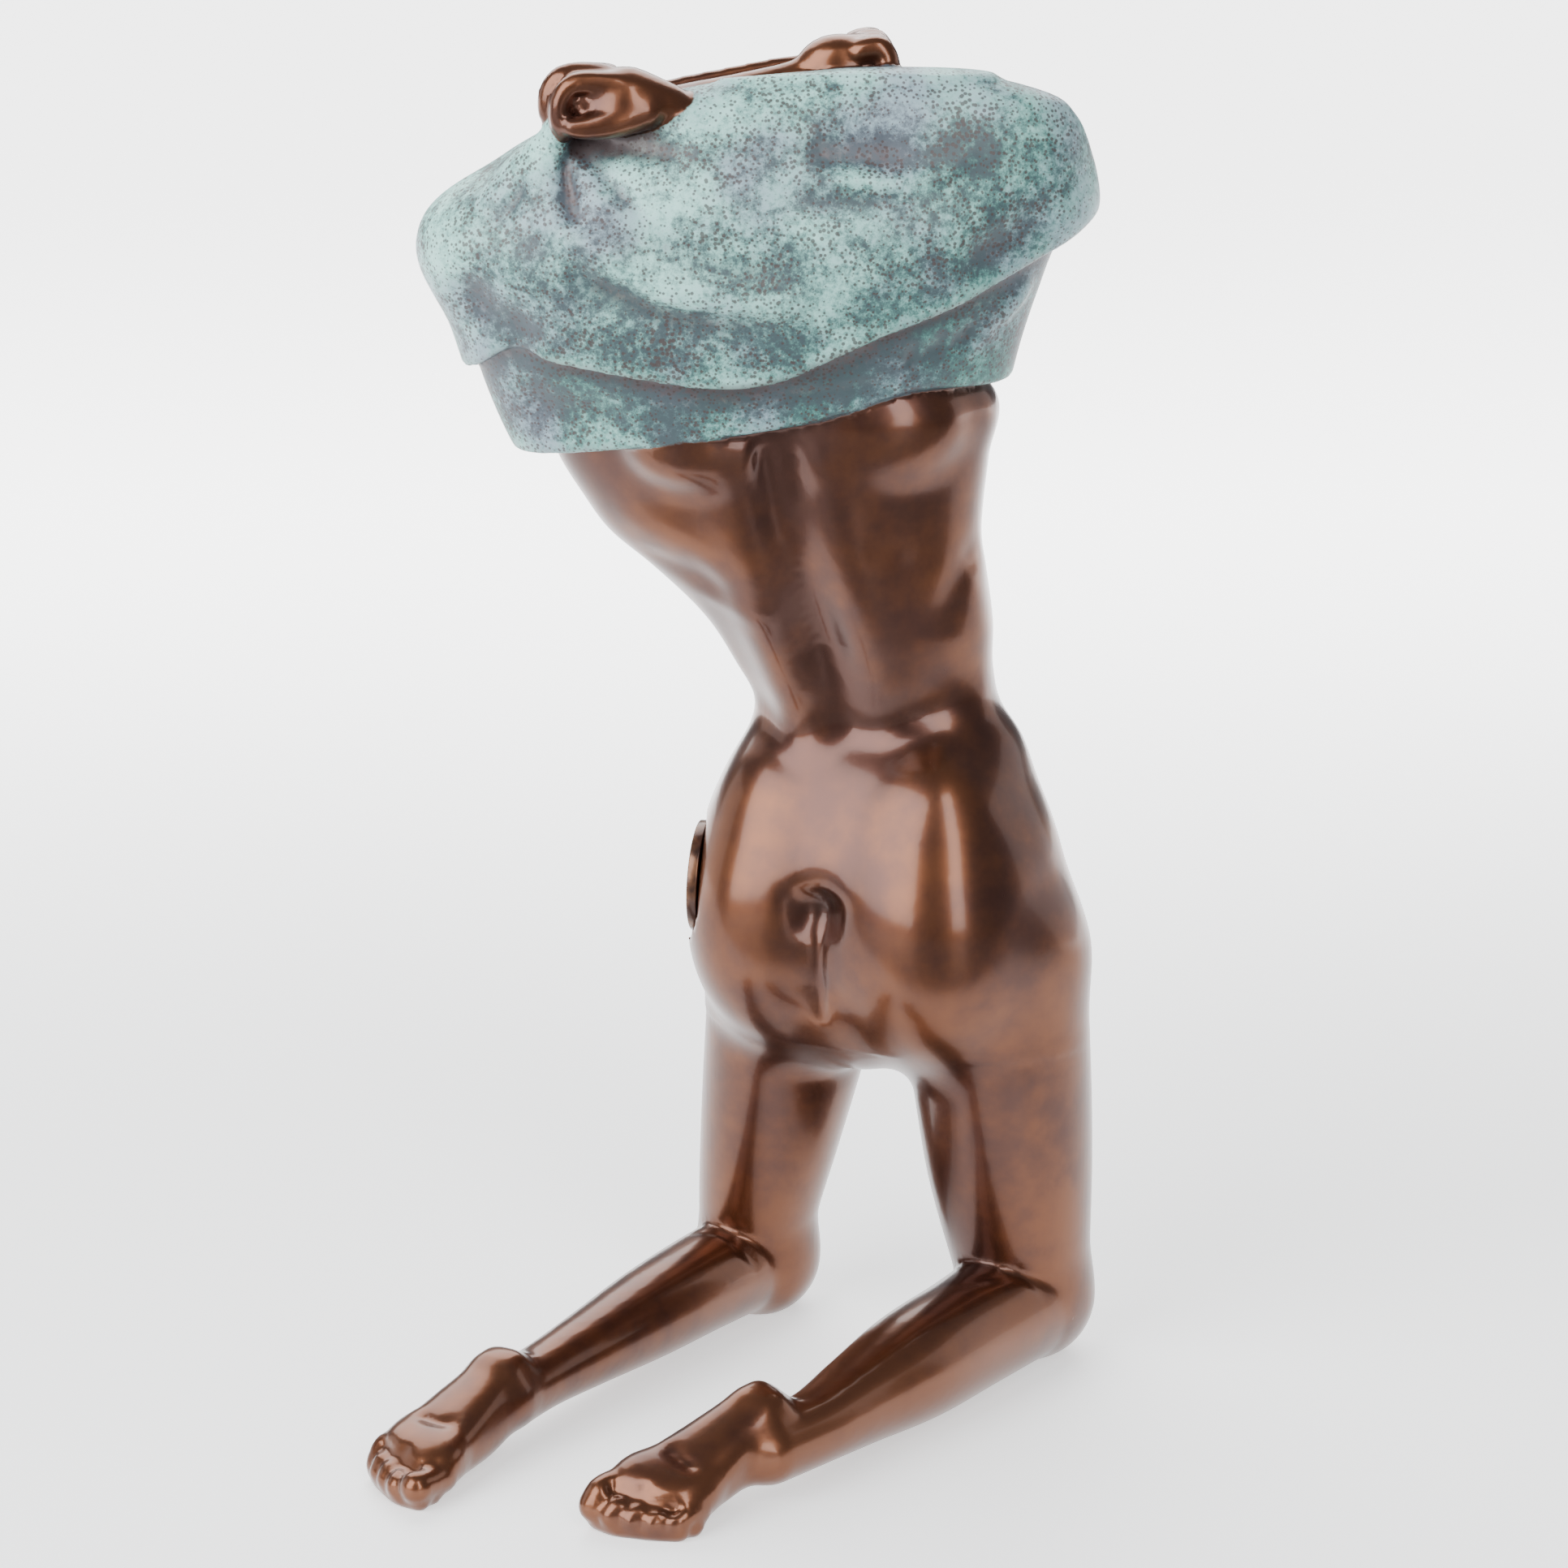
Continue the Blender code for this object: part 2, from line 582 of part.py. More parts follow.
RIGHT_THUMB = [
    (-9.4, 10.2, 94.5, 1.4),
    (-11.5, 9.6, 93.8, 1.2),
    (-13.2, 9.3, 93.4, 0.9),
    (-14.3, 9.2, 93.4, 0.7),
]
LEFT_FOREARM = [
    (-15.0, 18.2, 90.6, 2.4),
    (-8.0, 16.9, 93.4, 1.8),
    (-3.0, 16.5, 94.8, 1.45),
    (1.0, 16.4, 95.9, 1.3),
    (3.4, 16.4, 97.0, 1.4),
]
LEFT_PALM = ((4.2, 16.6, 97.4), (2.9, 1.9, 1.5))
LEFT_FINGER = [(5.4, 15.4, 97.9, 0.9), (6.6, 15.4, 98.0, 0.9), (7.2, 15.4, 96.7, 0.8), (6.2, 15.6, 95.6, 0.7)]
LEFT_FINGERS = [(0.0, 0.0, 0.0), (-0.1, 1.25, 0.1), (-0.2, 2.5, 0.2), (-0.4, 3.7, 0.2)]
RIGHT_KNOB = ((-13.7, 10.0, 94.8), (0.6, 0.8, 0.6))
FAR_EDGE = [
    (-12.0, 19.0, 92.8, 0.9),
    (-8.5, 19.2, 94.7, 0.65),
    (-3.7, 19.3, 95.8, 0.6),
    (0.8, 19.3, 96.6, 0.6),
    (4.4, 18.6, 96.6, 0.7),
]


def from_middle(middle, axes, offset):
    """A place given by its distances from a middle along three axes."""
    return middle + np.asarray(offset) @ np.asarray(axes)


def shape_torso(body):
    """The torso, hips and back."""
    body.add(trunk(TORSO, TORSO_POWER), 0)
    seats = [mass(from_middle(HIPS, HIP_AXES, centre), radii, HIP_AXES) for centre, radii in SEATS]
    body.add(joined(seats, TIGHT), FLESHY)
    for centre, radii in (*FLANKS, SACRUM, BETWEEN_SEATS):
        body.add(mass(from_middle(HIPS, HIP_AXES, centre), radii, HIP_AXES), FLESHY)
    for centre, radii in BELLY:
        body.add(mass(from_middle(HIPS, HIP_AXES, centre), radii, HIP_AXES), BROAD)
    turn = np.radians(CHEST_TURN)
    axes = [(np.cos(turn), np.sin(turn), 0), (-np.sin(turn), np.cos(turn), 0), UP]
    for centre, radii in BREASTS:
        body.add(mass(from_middle(CHEST, axes, centre), radii, axes), FLESHY)
    for centre, radii, lean, blend in SHOULDER_BLADES:
        long = unit((lean, 0, 1))
        body.add(mass(centre, radii, [np.cross((0, 1, 0), long), (0, 1, 0), long]), blend)
    for stations in BACK_MUSCLES:
        body.add(tube(stations), FLESHY)


def shape_leg(body, leg):
    """One leg down to the ankle."""
    body.add(tube(leg["thigh"]), FLESHY)
    body.add(mass(leg["knee"], KNEE_RADII), FLESHY)
    body.add(tube(leg["shin"]), CLOSE)


def shape_foot(body, leg):
    """One foot with its sole up and its toes on the ground."""
    ahead = unit(leg["ahead"])
    out = unit(leg["out"] - ahead * (leg["out"] @ ahead))
    sole = np.cross(ahead, out)
    sole = sole * np.sign(sole[2])
    axes = [ahead, out, sole]

    def at(*offset):
        return from_middle(leg["heel"], axes, offset)

    body.add(laid(trunk(SOLE, SOLE_POWER), leg["heel"], [out, sole, ahead]), SOFT)
    body.add(tube([(*at(*place), radius) for *place, radius in INSTEP], out, INSTEP_WIDTH), SOFT)
    for centre, radii in BALLS:
        body.add(mass(at(*centre), radii, axes), SOFT)
    body.take(mass(at(*ARCH[0]), ARCH[1], axes), SOFT)
    ends = []
    for across, radius, tip in TOES:
        root = at(tip - TOE_LENGTH - 2 * radius, across, -TOE_RISE / 2)
        joint = at(tip - TOE_LENGTH - radius / 2, across, TOE_RISE)
        end = at(tip - radius, across, 0)
        end[2] = radius + TOE_RISE
        ends.append(end)
        body.add(tube([(*place, radius) for place in (root, joint, end)]), TIGHT / 2)
    for back in TOE_BACKS:
        bed = [(*(end - ahead * back)[:2], TOE_BED - TOE_PRESS, TOE_BED) for end in ends]
        body.add(tube(bed), TIGHT)
    for points, width, depth in SOLE_LINES:
        body.draw([at(*point) for point in points], width, depth)


def shape_creases(body):
    """The cleft, the dimple over it and all lines drawn into the body."""
    for width, depth in CLEFT_TOOLS:
        body.draw([from_middle(HIPS, HIP_AXES, place) for place in CLEFT], width, depth)
    body.take(mass(from_middle(HIPS, HIP_AXES, DIMPLE), DIMPLE_RADII, HIP_AXES), FLESHY)
    for points, width, depth in BODY_LINES:
        body.draw(points, width, depth)


def shape_seat(body):
    """The flat that the foundry seal sits on."""
    facing = unit(SEAL_FACING)
    back = (SEAL_THICKNESS / 2 + SEAL_GAP) / UNIT
    room = SEAL_DIAMETER / 2 / UNIT + CLOSE
    body.add(disc(SEAL_PLACE - facing * (back + SEAT_DEPTH), facing, SEAT_RADIUS, SEAT_DEPTH), SOFT)
    body.take(disc(SEAL_PLACE + facing * (SEAT_DEPTH - back), facing, room, SEAT_DEPTH), 0)


def shape_hands(hands):
    """Both hands, the forearm that lies bare on top and the cloth's far edge behind it."""
    hands.add(tube(RIGHT_WRIST), 0)
    hands.add(mass(*RIGHT_PALM), SOFT)
    hands.add(mass(*RIGHT_HOLLOW), CLOSE)
    hands.add(tube(LEFT_FOREARM), 0)
    hands.add(mass(*LEFT_PALM), SOFT)
    for finger, places in ((RIGHT_FINGER, RIGHT_FINGERS), (LEFT_FINGER, LEFT_FINGERS)):
        for place in places:
            hands.add(tube(np.array(finger) + (*place, 0)), TIGHT)
    hands.add(tube(RIGHT_THUMB), TIGHT)
    hands.add(mass(*RIGHT_KNOB), TIGHT)
    hands.add(tube(FAR_EDGE), TIGHT)


def hem_height(x, y):
    """Height of the shirt's edge."""
    return HEM_HEIGHT + HEM_SLOPE * x + HEM_RISE * np.exp(-(((x - HEM_RISE_PLACE) / HEM_RISE_WIDTH) ** 2))


def turned_height(x, y):
    """Height of the line where the shirt is turned over itself."""
    places, heights = zip(*TURNED_EDGE)
    return through(places, heights, x)


def turned_line(shirt):
    """Points on the shirt along the line where it is turned over itself."""
    x, y, z = shirt.axes
    points = []
    for across, height in TURNED_EDGE[2:-2]:
        column = shirt.field[np.searchsorted(x, across), :, np.searchsorted(z, height)]
        points.append((across, y[np.argmax(column < 0)], height))
    return points


def shape_shirt(shirt):
    """The shirt, pulled inside out over the head and arms."""
    under = Clay(shirt.cell)
    under.add(bag(SHIRT, SHIRT_POWER, TURNED_DROP), 0)
    shirt.add(bag(SHIRT, SHIRT_POWER), 0)
    shirt.add(mass(*LEFT_ELBOW), FLESHY)
    shirt.add(tube(RIGHT_SLEEVE), FLESHY)
    shirt.add(tube(PINCH), SOFT)
    turned = turned_line(shirt)
    shirt.trim(turned_height, CLOSE)
    shirt.field = soft_min(shirt.field, under.field, TIGHT)
    shirt.draw(turned, *TURNED_LIP)
    shirt.trim(hem_height, CLOSE)
    for points, width, depth in FOLDS:
        shirt.draw(points, width, depth)


def shape_figure(cell):
    """The whole figure in clay."""
    body, hands, shirt = Clay(cell), Clay(cell), Clay(cell)
    shape_torso(body)
    for leg in (LEFT_LEG, RIGHT_LEG):
        shape_leg(body, leg)
        shape_foot(body, leg)
    shape_creases(body)
    shape_seat(body)
    shape_hands(hands)
    shape_shirt(shirt)
    bronze = np.minimum(body.field, hands.field)
    body.field = soft_min(bronze, shirt.field, TIGHT)
    return body


def fill_corners(field, sunk):
    """Fills cells that meet only along an edge, so that the surface never touches itself."""
    found = True
    while found:
        found = False
        for axes in ((0, 1), (0, 2), (1, 2)):
            corners = []
            for shift in ((0, 0), (1, 1), (1, 0), (0, 1)):
                cut = [slice(None)] * 3
                for axis, step in zip(axes, shift):
                    cut[axis] = slice(step, field.shape[axis] - 1 + step)
                corners.append(field[tuple(cut)])
            a, b, c, d = corners
            for one, other, third, fourth in ((a, b, c, d), (c, d, a, b)):
                touching = (one < 0) & (other < 0) & (third >= 0) & (fourth >= 0)
                third[touching] = sunk
                found = found or bool(touching.any())


def surface(clay):
    """Points and four-sided faces where the distance passes through zero."""
    field = clay.field
    fill_corners(field, SUNK * clay.cell)
    inside = field < 0
    shape = np.array(field.shape)
    places, owners, faces = [], [], []
    for axis in range(3):
        before, after = [slice(None)] * 3, [slice(None)] * 3
        before[axis], after[axis] = slice(0, -1), slice(1, None)
        start = np.argwhere(inside[tuple(before)] != inside[tuple(after)])
        others = [other for other in range(3) if other != axis]
        keep = np.all((start[:, others] > 0) & (start[:, others] < shape[others] - 1), axis=1)
        start = start[keep]
        end = start.copy()
        end[:, axis] += 1
        near, far = field[tuple(start.T)], field[tuple(end.T)]
        place = start.astype(float)
        place[:, axis] += near / (near - far)
        corners = []
        for down, back in ((0, 0), (1, 0), (1, 1), (0, 1)):
            owner = start.copy()
            owner[:, others[0]] -= down
            owner[:, others[1]] -= back
            corners.append(np.ravel_multi_index(owner.T, shape - 1))
            places.append(place)
            owners.append(corners[-1])
        face = np.stack(corners, 1)
        inward = (near > 0) ^ (axis == 1)
        face[inward] = face[inward][:, ::-1]
        faces.append(face)
    owners, places = np.concatenate(owners), np.concatenate(places)
    used, index = np.unique(owners, return_inverse=True)
    index = index.reshape(-1)
    count = np.bincount(index)
    points = np.stack([np.bincount(index, column) / count for column in places.T], 1)
    return points * clay.cell + clay.low, np.searchsorted(used, np.concatenate(faces))


def bronze_material(name, color):
    """A plain metal."""
    material = bpy.data.materials.new(name)
    material.use_nodes = True
    shader = material.node_tree.nodes["Principled BSDF"]
    shader.inputs["Base Color"].default_value = (*color, 1)
    shader.inputs["Metallic"].default_value = METALLIC
    shader.inputs["Roughness"].default_value = ROUGHNESS
    return material


def keep_largest(mesh):
    """Drops every loose bit and every closed hollow but the outer surface."""
    form = bmesh.new()
    form.from_mesh(mesh)
    left = set(form.faces)
    islands = []
    while left:
        front = [left.pop()]
        island = list(front)
        while front:
            near = {other for face in front for edge in face.edges for other in edge.link_faces}
            front = list(near & left)
            left.difference_update(front)
            island.extend(front)
        islands.append(island)
    islands.sort(key=len)
    spare = [face for island in islands[:-1] for face in island]
    bmesh.ops.delete(form, geom=spare, context="FACES")
    form.to_mesh(mesh)
    form.free()


def cut_flat(mesh):
    """Cuts the figure off on the ground and closes it with flat faces."""
    form = bmesh.new()
    form.from_mesh(mesh)
    everything = form.verts[:] + form.edges[:] + form.faces[:]
    bmesh.ops.bisect_plane(
        form, geom=everything, dist=GROUND_TOLERANCE, plane_co=(0, 0, 0), plane_no=(0, 0, 1), clear_inner=True
    )
    rim = [edge for edge in form.edges if edge.is_boundary]
    bmesh.ops.holes_fill(form, edges=rim)
    bmesh.ops.triangulate(form, faces=form.faces[:])
    bmesh.ops.recalc_face_normals(form, faces=form.faces[:])
    form.to_mesh(mesh)
    form.free()


def make_figure():
    """The casting as a mesh object."""
    points, faces = surface(shape_figure(CELL))
    mesh = bpy.data.meshes.new("kneeling_figure")
    mesh.from_pydata((points * UNIT).tolist(), [], faces.tolist())
    figure = bpy.data.objects.new("kneeling_figure", mesh)
    bpy.context.scene.collection.objects.link(figure)
    bpy.context.view_layer.objects.active = figure
    figure.select_set(True)
    soften = figure.modifiers.new("soften", "SMOOTH")
    soften.factor = SOFTENING
    soften.iterations = SOFTENING_ROUNDS
    bpy.ops.object.modifier_apply(modifier=soften.name)
    fewer = figure.modifiers.new("fewer", "DECIMATE")
    mesh.calc_loop_triangles()
    fewer.ratio = TRIANGLES / len(mesh.loop_triangles)
    bpy.ops.object.modifier_apply(modifier=fewer.name)
    cut_flat(figure.data)
    keep_largest(figure.data)
    figure.data.materials.append(bronze_material("brown_bronze", FIGURE_COLOR))
    figure.select_set(False)
    return figure


def make_seal():
    """The round foundry seal, blank."""
    bpy.ops.mesh.primitive_cylinder_add(
        vertices=SEAL_SIDES, radius=SEAL_DIAMETER / 2, depth=SEAL_THICKNESS
    )
    seal = bpy.context.object
    seal.name = seal.data.name = "foundry_seal"
    edge = seal.modifiers.new("edge", "BEVEL")
    edge.width = SEAL_EDGE
    edge.segments = SEAL_EDGE_STEPS
    edge.limit_method = "ANGLE"
    bpy.ops.object.modifier_apply(modifier=edge.name)
    seal.rotation_mode = "QUATERNION"
    seal.rotation_quaternion = Vector(SEAL_FACING).to_track_quat("Z", "Y")
    seal.location = Vector(SEAL_PLACE) * UNIT
    bpy.ops.object.transform_apply(location=True, rotation=True, scale=True)
    seal.data.materials.append(bronze_material("seal_bronze", SEAL_COLOR))
    return seal


def centre_on_ground(pieces):
    """Puts the middle of the whole over the origin."""
    corners = np.array([vertex.co for piece in pieces for vertex in piece.data.vertices])
    middle = (corners.min(0) + corners.max(0)) / 2
    for piece in pieces:
        piece.data.transform(Matrix.Translation((-middle[0], -middle[1], 0)))


for old in list(bpy.data.objects):
    bpy.data.objects.remove(old, do_unlink=True)

centre_on_ground([make_figure(), make_seal()])
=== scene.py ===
# %% [markdown]
# # A kneeling bronze figure
#
# The real object is a hollow bronze about 317 mm tall: a woman kneels on her knees and toes and
# pulls her shirt, inside out, over her head and arms. We look at her from behind. Her skin is brown
# lacquered bronze, and the shirt wears a blue-green patina. A small blank seal stands at her left
# hip.
#
# A statue has no flat faces and no straight edges, so it could be sculpted by hand with brushes, or
# built from a cage of quads under a subdivision surface. Neither can be repeated by a script with
# the same care, so this lesson sculpts with numbers: it blends simple forms in a block of space,
# as one presses lumps of clay together, and takes the surface off the whole. The studio, the seal
# and both finishes are then made with Blender's usual tools.

# %% Load the packed model as a fixed frame
import json

import bmesh
import bpy
import numpy as np
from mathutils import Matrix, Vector

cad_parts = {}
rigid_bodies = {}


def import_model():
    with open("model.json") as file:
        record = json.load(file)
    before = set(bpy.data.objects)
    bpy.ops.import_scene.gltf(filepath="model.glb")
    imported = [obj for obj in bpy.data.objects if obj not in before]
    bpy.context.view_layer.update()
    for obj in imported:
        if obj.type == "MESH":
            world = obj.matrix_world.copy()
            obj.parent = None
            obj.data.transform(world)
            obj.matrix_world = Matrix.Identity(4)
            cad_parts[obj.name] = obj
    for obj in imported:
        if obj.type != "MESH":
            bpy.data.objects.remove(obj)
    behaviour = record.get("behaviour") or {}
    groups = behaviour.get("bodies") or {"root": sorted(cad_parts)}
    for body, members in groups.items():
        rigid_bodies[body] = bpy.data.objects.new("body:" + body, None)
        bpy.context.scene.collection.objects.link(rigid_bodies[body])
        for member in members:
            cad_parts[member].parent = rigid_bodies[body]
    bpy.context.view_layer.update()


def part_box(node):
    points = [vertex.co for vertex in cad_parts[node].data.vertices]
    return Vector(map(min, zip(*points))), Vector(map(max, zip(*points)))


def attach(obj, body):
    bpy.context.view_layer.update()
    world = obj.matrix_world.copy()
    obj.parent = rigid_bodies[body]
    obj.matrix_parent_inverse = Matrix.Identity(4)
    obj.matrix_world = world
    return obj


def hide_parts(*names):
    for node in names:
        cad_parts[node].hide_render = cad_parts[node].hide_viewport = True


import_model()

# %% [markdown]
# ## Where the clay lies
#
# The sculpture is described in hundredths of about its own height, so that a number such as 36 reads
# as "a little over a third of the way up". X runs to her right, Y to her front and Z up. The CAD
# model has its origin under the middle of the whole, so we need to know how far the clay is from
# there. The seal is the same small disc in both, so its place in the CAD model gives the shift.

# %% Units and the shift from clay to model
FIGURE_HEIGHT = 0.320
UNIT = FIGURE_HEIGHT / 100
SEAL_DIAMETER = 0.0260
SEAL_THICKNESS = 0.0024
SEAL_GAP = 0.0004
SEAL_PLACE = (-6.05, 22.6, 37.0)
SEAL_FACING = (-0.98, 0.17, 0.04)


def middle_of(node):
    """The middle of a CAD node's box."""
    low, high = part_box(node)
    return (np.array(low) + np.array(high)) / 2


shift = middle_of("foundry_seal") - np.array(SEAL_PLACE) * UNIT
print("clay to model, mm:", (shift * 1000).round(2))

# %% [markdown]
# ## A block of clay
#
# Modelling clay can be pressed together, cut and scratched anywhere. A block of small cells behaves
# the same way if each cell holds its distance to the surface, less than zero inside. Adding a form
# keeps the smaller of two distances, and cutting keeps the larger. A little rounding where both are
# alike gives the soft fillet that flesh and wax have. Booleans on meshes would leave hard seams
# here, and metaballs give no control over each fillet.

# %% The block and its tools
FAR = 9.0
CLAY_LOW = (-34.0, -19.0, -1.5)
CLAY_HIGH = (27.0, 36.0, 102.0)
FINE_CELL = 0.3
COARSE_CELL = 1.0
SMOOTH_STEPS = 12
TOOL_REACH = 2.2
TOOL_FADE = 4
TIGHT = 0.25
CLOSE = 0.5
SOFT = 1.0
FLESHY = 2.5
BROAD = 4.0


def soft_min(a, b, blend):
    """The smaller of two distances, rounded where they are alike."""
    if blend <= 0:
        return np.minimum(a, b)
    reach = np.maximum(blend - np.abs(a - b), 0) / blend
    return np.minimum(a, b) - reach * reach * blend / 4


class Clay:
    """A block of space in small cells. Each holds its distance to the surface, less than zero inside."""

    def __init__(self, cell):
        self.cell = cell
        self.low = np.array(CLAY_LOW)
        self.axes = [
            np.arange(low, high + cell, cell, dtype=np.float32)
            for low, high in zip(CLAY_LOW, CLAY_HIGH)
        ]
        self.field = np.full([len(axis) for axis in self.axes], FAR, np.float32)

    def near(self, low, high):
        """The cells between two corners, and where they are."""
        cut = tuple(
            slice(max(0, int((a - start) / self.cell)), max(0, int((b - start) / self.cell) + 2))
            for a, b, start in zip(low, high, self.low)
        )
        x, y, z = (axis[part] for axis, part in zip(self.axes, cut))
        return cut, (x[:, None, None], y[None, :, None], z[None, None, :])

    def add(self, form, blend=CLOSE):
        """Puts a form on, with a fillet as wide as the blend."""
        self.merge(form, blend, 1)

    def take(self, form, blend=CLOSE):
        """Cuts a form away."""
        self.merge(form, blend, -1)

    def merge(self, form, blend, sign):
        """Joins a form to the clay, or to the space around it where the sign is less than zero."""
        distance, low, high = form
        cut, here = self.near(low - blend - 1, high + blend + 1)
        self.field[cut] = sign * soft_min(sign * self.field[cut], distance(*here), blend)

    def trim(self, height, blend):
        """Cuts away all that is lower than a height, which may change over the ground."""
        x, y, z = self.near(CLAY_LOW, CLAY_HIGH)[1]
        self.field = -soft_min(-self.field, (z - height(x, y)).astype(np.float32), blend)

    def draw(self, points, width, depth):
        """Draws a tool along the points. It leaves a groove, or a ridge where the depth is negative."""
        line = smooth(points)
        cut, here = self.near(line.min(0) - TOOL_REACH * width, line.max(0) + TOOL_REACH * width)
        best = np.full(self.field[cut].shape, FAR**2, np.float32)
        power = np.zeros_like(best)
        last = len(line) - 1
        for i, (a, b) in enumerate(zip(line, line[1:])):
            run = b - a
            offset = [axis - start for axis, start in zip(here, a)]
            along = np.clip(sum(o * r for o, r in zip(offset, run)) / (run @ run), 0, 1)
            gap = sum((o - along * r) ** 2 for o, r in zip(offset, run))
            share = (i + along) / last
            fade = np.minimum(1, TOOL_FADE * np.minimum(share, 1 - share))
            power = np.where(gap < best, fade, power)
            best = np.minimum(best, gap)
        self.field[cut] += (depth * power * np.exp(-best / width**2)).astype(np.float32)


print("the block is", np.subtract(CLAY_HIGH, CLAY_LOW).round(1), "units in size")

# %% [markdown]
# ## Smooth lines
#
# A limb, a fold and a spine all run along a line through a few chosen places. We could use a Bezier
# curve object and read it back, but a short cubic that passes through every place is easier to
# steer: moving one place moves only its own stretch.

# %% Lines through a few places
UP = np.array([0.0, 0.0, 1.0])


def unit(way):
    """The same direction, one long."""
    return np.asarray(way, float) / np.linalg.norm(way)


def through(places, values, at):
    """The value on a smooth line through the given ones."""
    places, values = np.asarray(places, float), np.asarray(values, float)
    slope = np.gradient(values, places)
    i = np.clip(np.searchsorted(places, at) - 1, 0, len(places) - 2)
    step = places[i + 1] - places[i]
    t = np.clip((at - places[i]) / step, 0, 1)
    start = values[i] * (1 + 2 * t) * (1 - t) ** 2 + slope[i] * step * t * (1 - t) ** 2
    end = values[i + 1] * t * t * (3 - 2 * t) + slope[i + 1] * step * t * t * (t - 1)
    return start + end


def smooth(points, count=SMOOTH_STEPS):
    """Many points on a smooth line through the given ones."""
    points = np.array(points, float)
    places = np.arange(len(points), dtype=float)
    fine = np.linspace(0, len(points) - 1, (len(points) - 1) * count + 1)
    return np.stack([through(places, column, fine) for column in points.T], 1)


def from_middle(middle, axes, offset):
    """A place given by its distances from a middle along three axes."""
    return middle + np.asarray(offset) @ np.asarray(axes)


print("a line through 4 places has", len(smooth([(0, 0), (1, 2), (2, 2), (3, 0)])), "points")

# %% [markdown]
# ## Limbs and tubes
#
# Arms, legs, fingers and toes are tapered tubes with round ends. A tube along a smooth line is a
# chain of short cones, each of which knows its distance to any point. A limb may be flatter one way,
# as a foot is.

# %% Tapered limbs
def limb(a, b, start, end, flat=None, share=1.0):
    """A limb from a to b that changes from one radius to the other, flatter along one way."""
    a, b = np.asarray(a, float), np.asarray(b, float)
    run = b - a
    reach = max(start, end) * max(1.0, share)

    def distance(x, y, z):
        dx, dy, dz = x - a[0], y - a[1], z - a[2]
        along = np.clip((dx * run[0] + dy * run[1] + dz * run[2]) / (run @ run), 0, 1)
        dx, dy, dz = dx - along * run[0], dy - along * run[1], dz - along * run[2]
        squared = dx * dx + dy * dy + dz * dz
        if flat is not None:
            lean = dx * flat[0] + dy * flat[1] + dz * flat[2]
            squared = squared + lean * lean * (1 / share**2 - 1)
        return (np.sqrt(squared) - (start + (end - start) * along)).astype(np.float32)

    return distance, np.minimum(a, b) - reach, np.maximum(a, b) + reach


def joined(forms, blend):
    """Several forms as one, with their own fillet between them."""

    def distance(x, y, z):
        whole = forms[0][0](x, y, z)
        for form in forms[1:]:
            whole = soft_min(whole, form[0](x, y, z), blend)
        return whole

    return distance, np.min([f[1] for f in forms], 0), np.max([f[2] for f in forms], 0)


def tube(stations, flat=None, share=1.0):
    """A limb along a smooth line. A station is x, y, z and radius."""
    line = smooth(stations)
    parts = [limb(a[:3], b[:3], a[3], b[3], flat, share) for a, b in zip(line, line[1:])]
    return joined(parts, 0)


print("a tube through 4 places reaches from", tube([(0, 0, i, 1) for i in range(4)])[1])

# %% [markdown]
# ## Masses and trunks
#
# Muscles, heels and buttocks are egg shapes that lie in any direction. The torso and the shirt are
# trunks: rounded rings stacked at given heights, each with its own middle, width, depth and turn.
# A power above 2 makes the rings a little squarer, as a rib cage is.

# %% Eggs, discs and trunks
TINY = 1e-9


def mass(centre, radii, axes=None):
    """An egg, its radii along the axes."""
    centre, radii = np.asarray(centre, float), np.asarray(radii, float)
    axes = np.eye(3) if axes is None else np.asarray(axes, float)
    reach = np.sqrt(((radii[:, None] * axes) ** 2).sum(0))

    def distance(x, y, z):
        dx, dy, dz = x - centre[0], y - centre[1], z - centre[2]
        near = far = 0
        for radius, way in zip(radii, axes):
            along = dx * way[0] + dy * way[1] + dz * way[2]
            near = near + (along / radius) ** 2
            far = far + (along / radius**2) ** 2
        near = np.sqrt(near)
        return (near * (near - 1) / np.sqrt(far + TINY)).astype(np.float32)

    return distance, centre - reach, centre + reach


def disc(centre, facing, radius, half):
    """A flat round disc."""
    centre, facing = np.asarray(centre, float), unit(facing)

    def distance(x, y, z):
        dx, dy, dz = x - centre[0], y - centre[1], z - centre[2]
        along = dx * facing[0] + dy * facing[1] + dz * facing[2]
        out = np.sqrt(np.maximum(dx * dx + dy * dy + dz * dz - along * along, 0))
        return np.maximum(np.abs(along) - half, out - radius).astype(np.float32)

    return distance, centre - radius - half, centre + radius + half


def trunk(stations, power):
    """A body of rounded rings. A station is height, x, y, half width, half depth and turn."""
    table = np.array(stations, float)
    heights = table[:, 0]
    reach = table[:, 3:5].max() + 1
    low = np.array([table[:, 1].min() - reach, table[:, 2].min() - reach, heights[0]])
    high = np.array([table[:, 1].max() + reach, table[:, 2].max() + reach, heights[-1]])

    def distance(x, y, z):
        columns = [through(heights, column, z) for column in table.T[1:]]
        middle_x, middle_y, wide, deep, turn = columns
        turn = np.radians(turn)
        dx, dy = x - middle_x, y - middle_y
        across = np.abs((dx * np.cos(turn) + dy * np.sin(turn)) / wide)
        depth = np.abs((dy * np.cos(turn) - dx * np.sin(turn)) / deep)
        side = ((across**power + depth**power) ** (1 / power) - 1) * np.sqrt(wide * deep)
        return np.maximum(side, np.maximum(heights[0] - z, z - heights[-1])).astype(np.float32)

    return distance, low, high


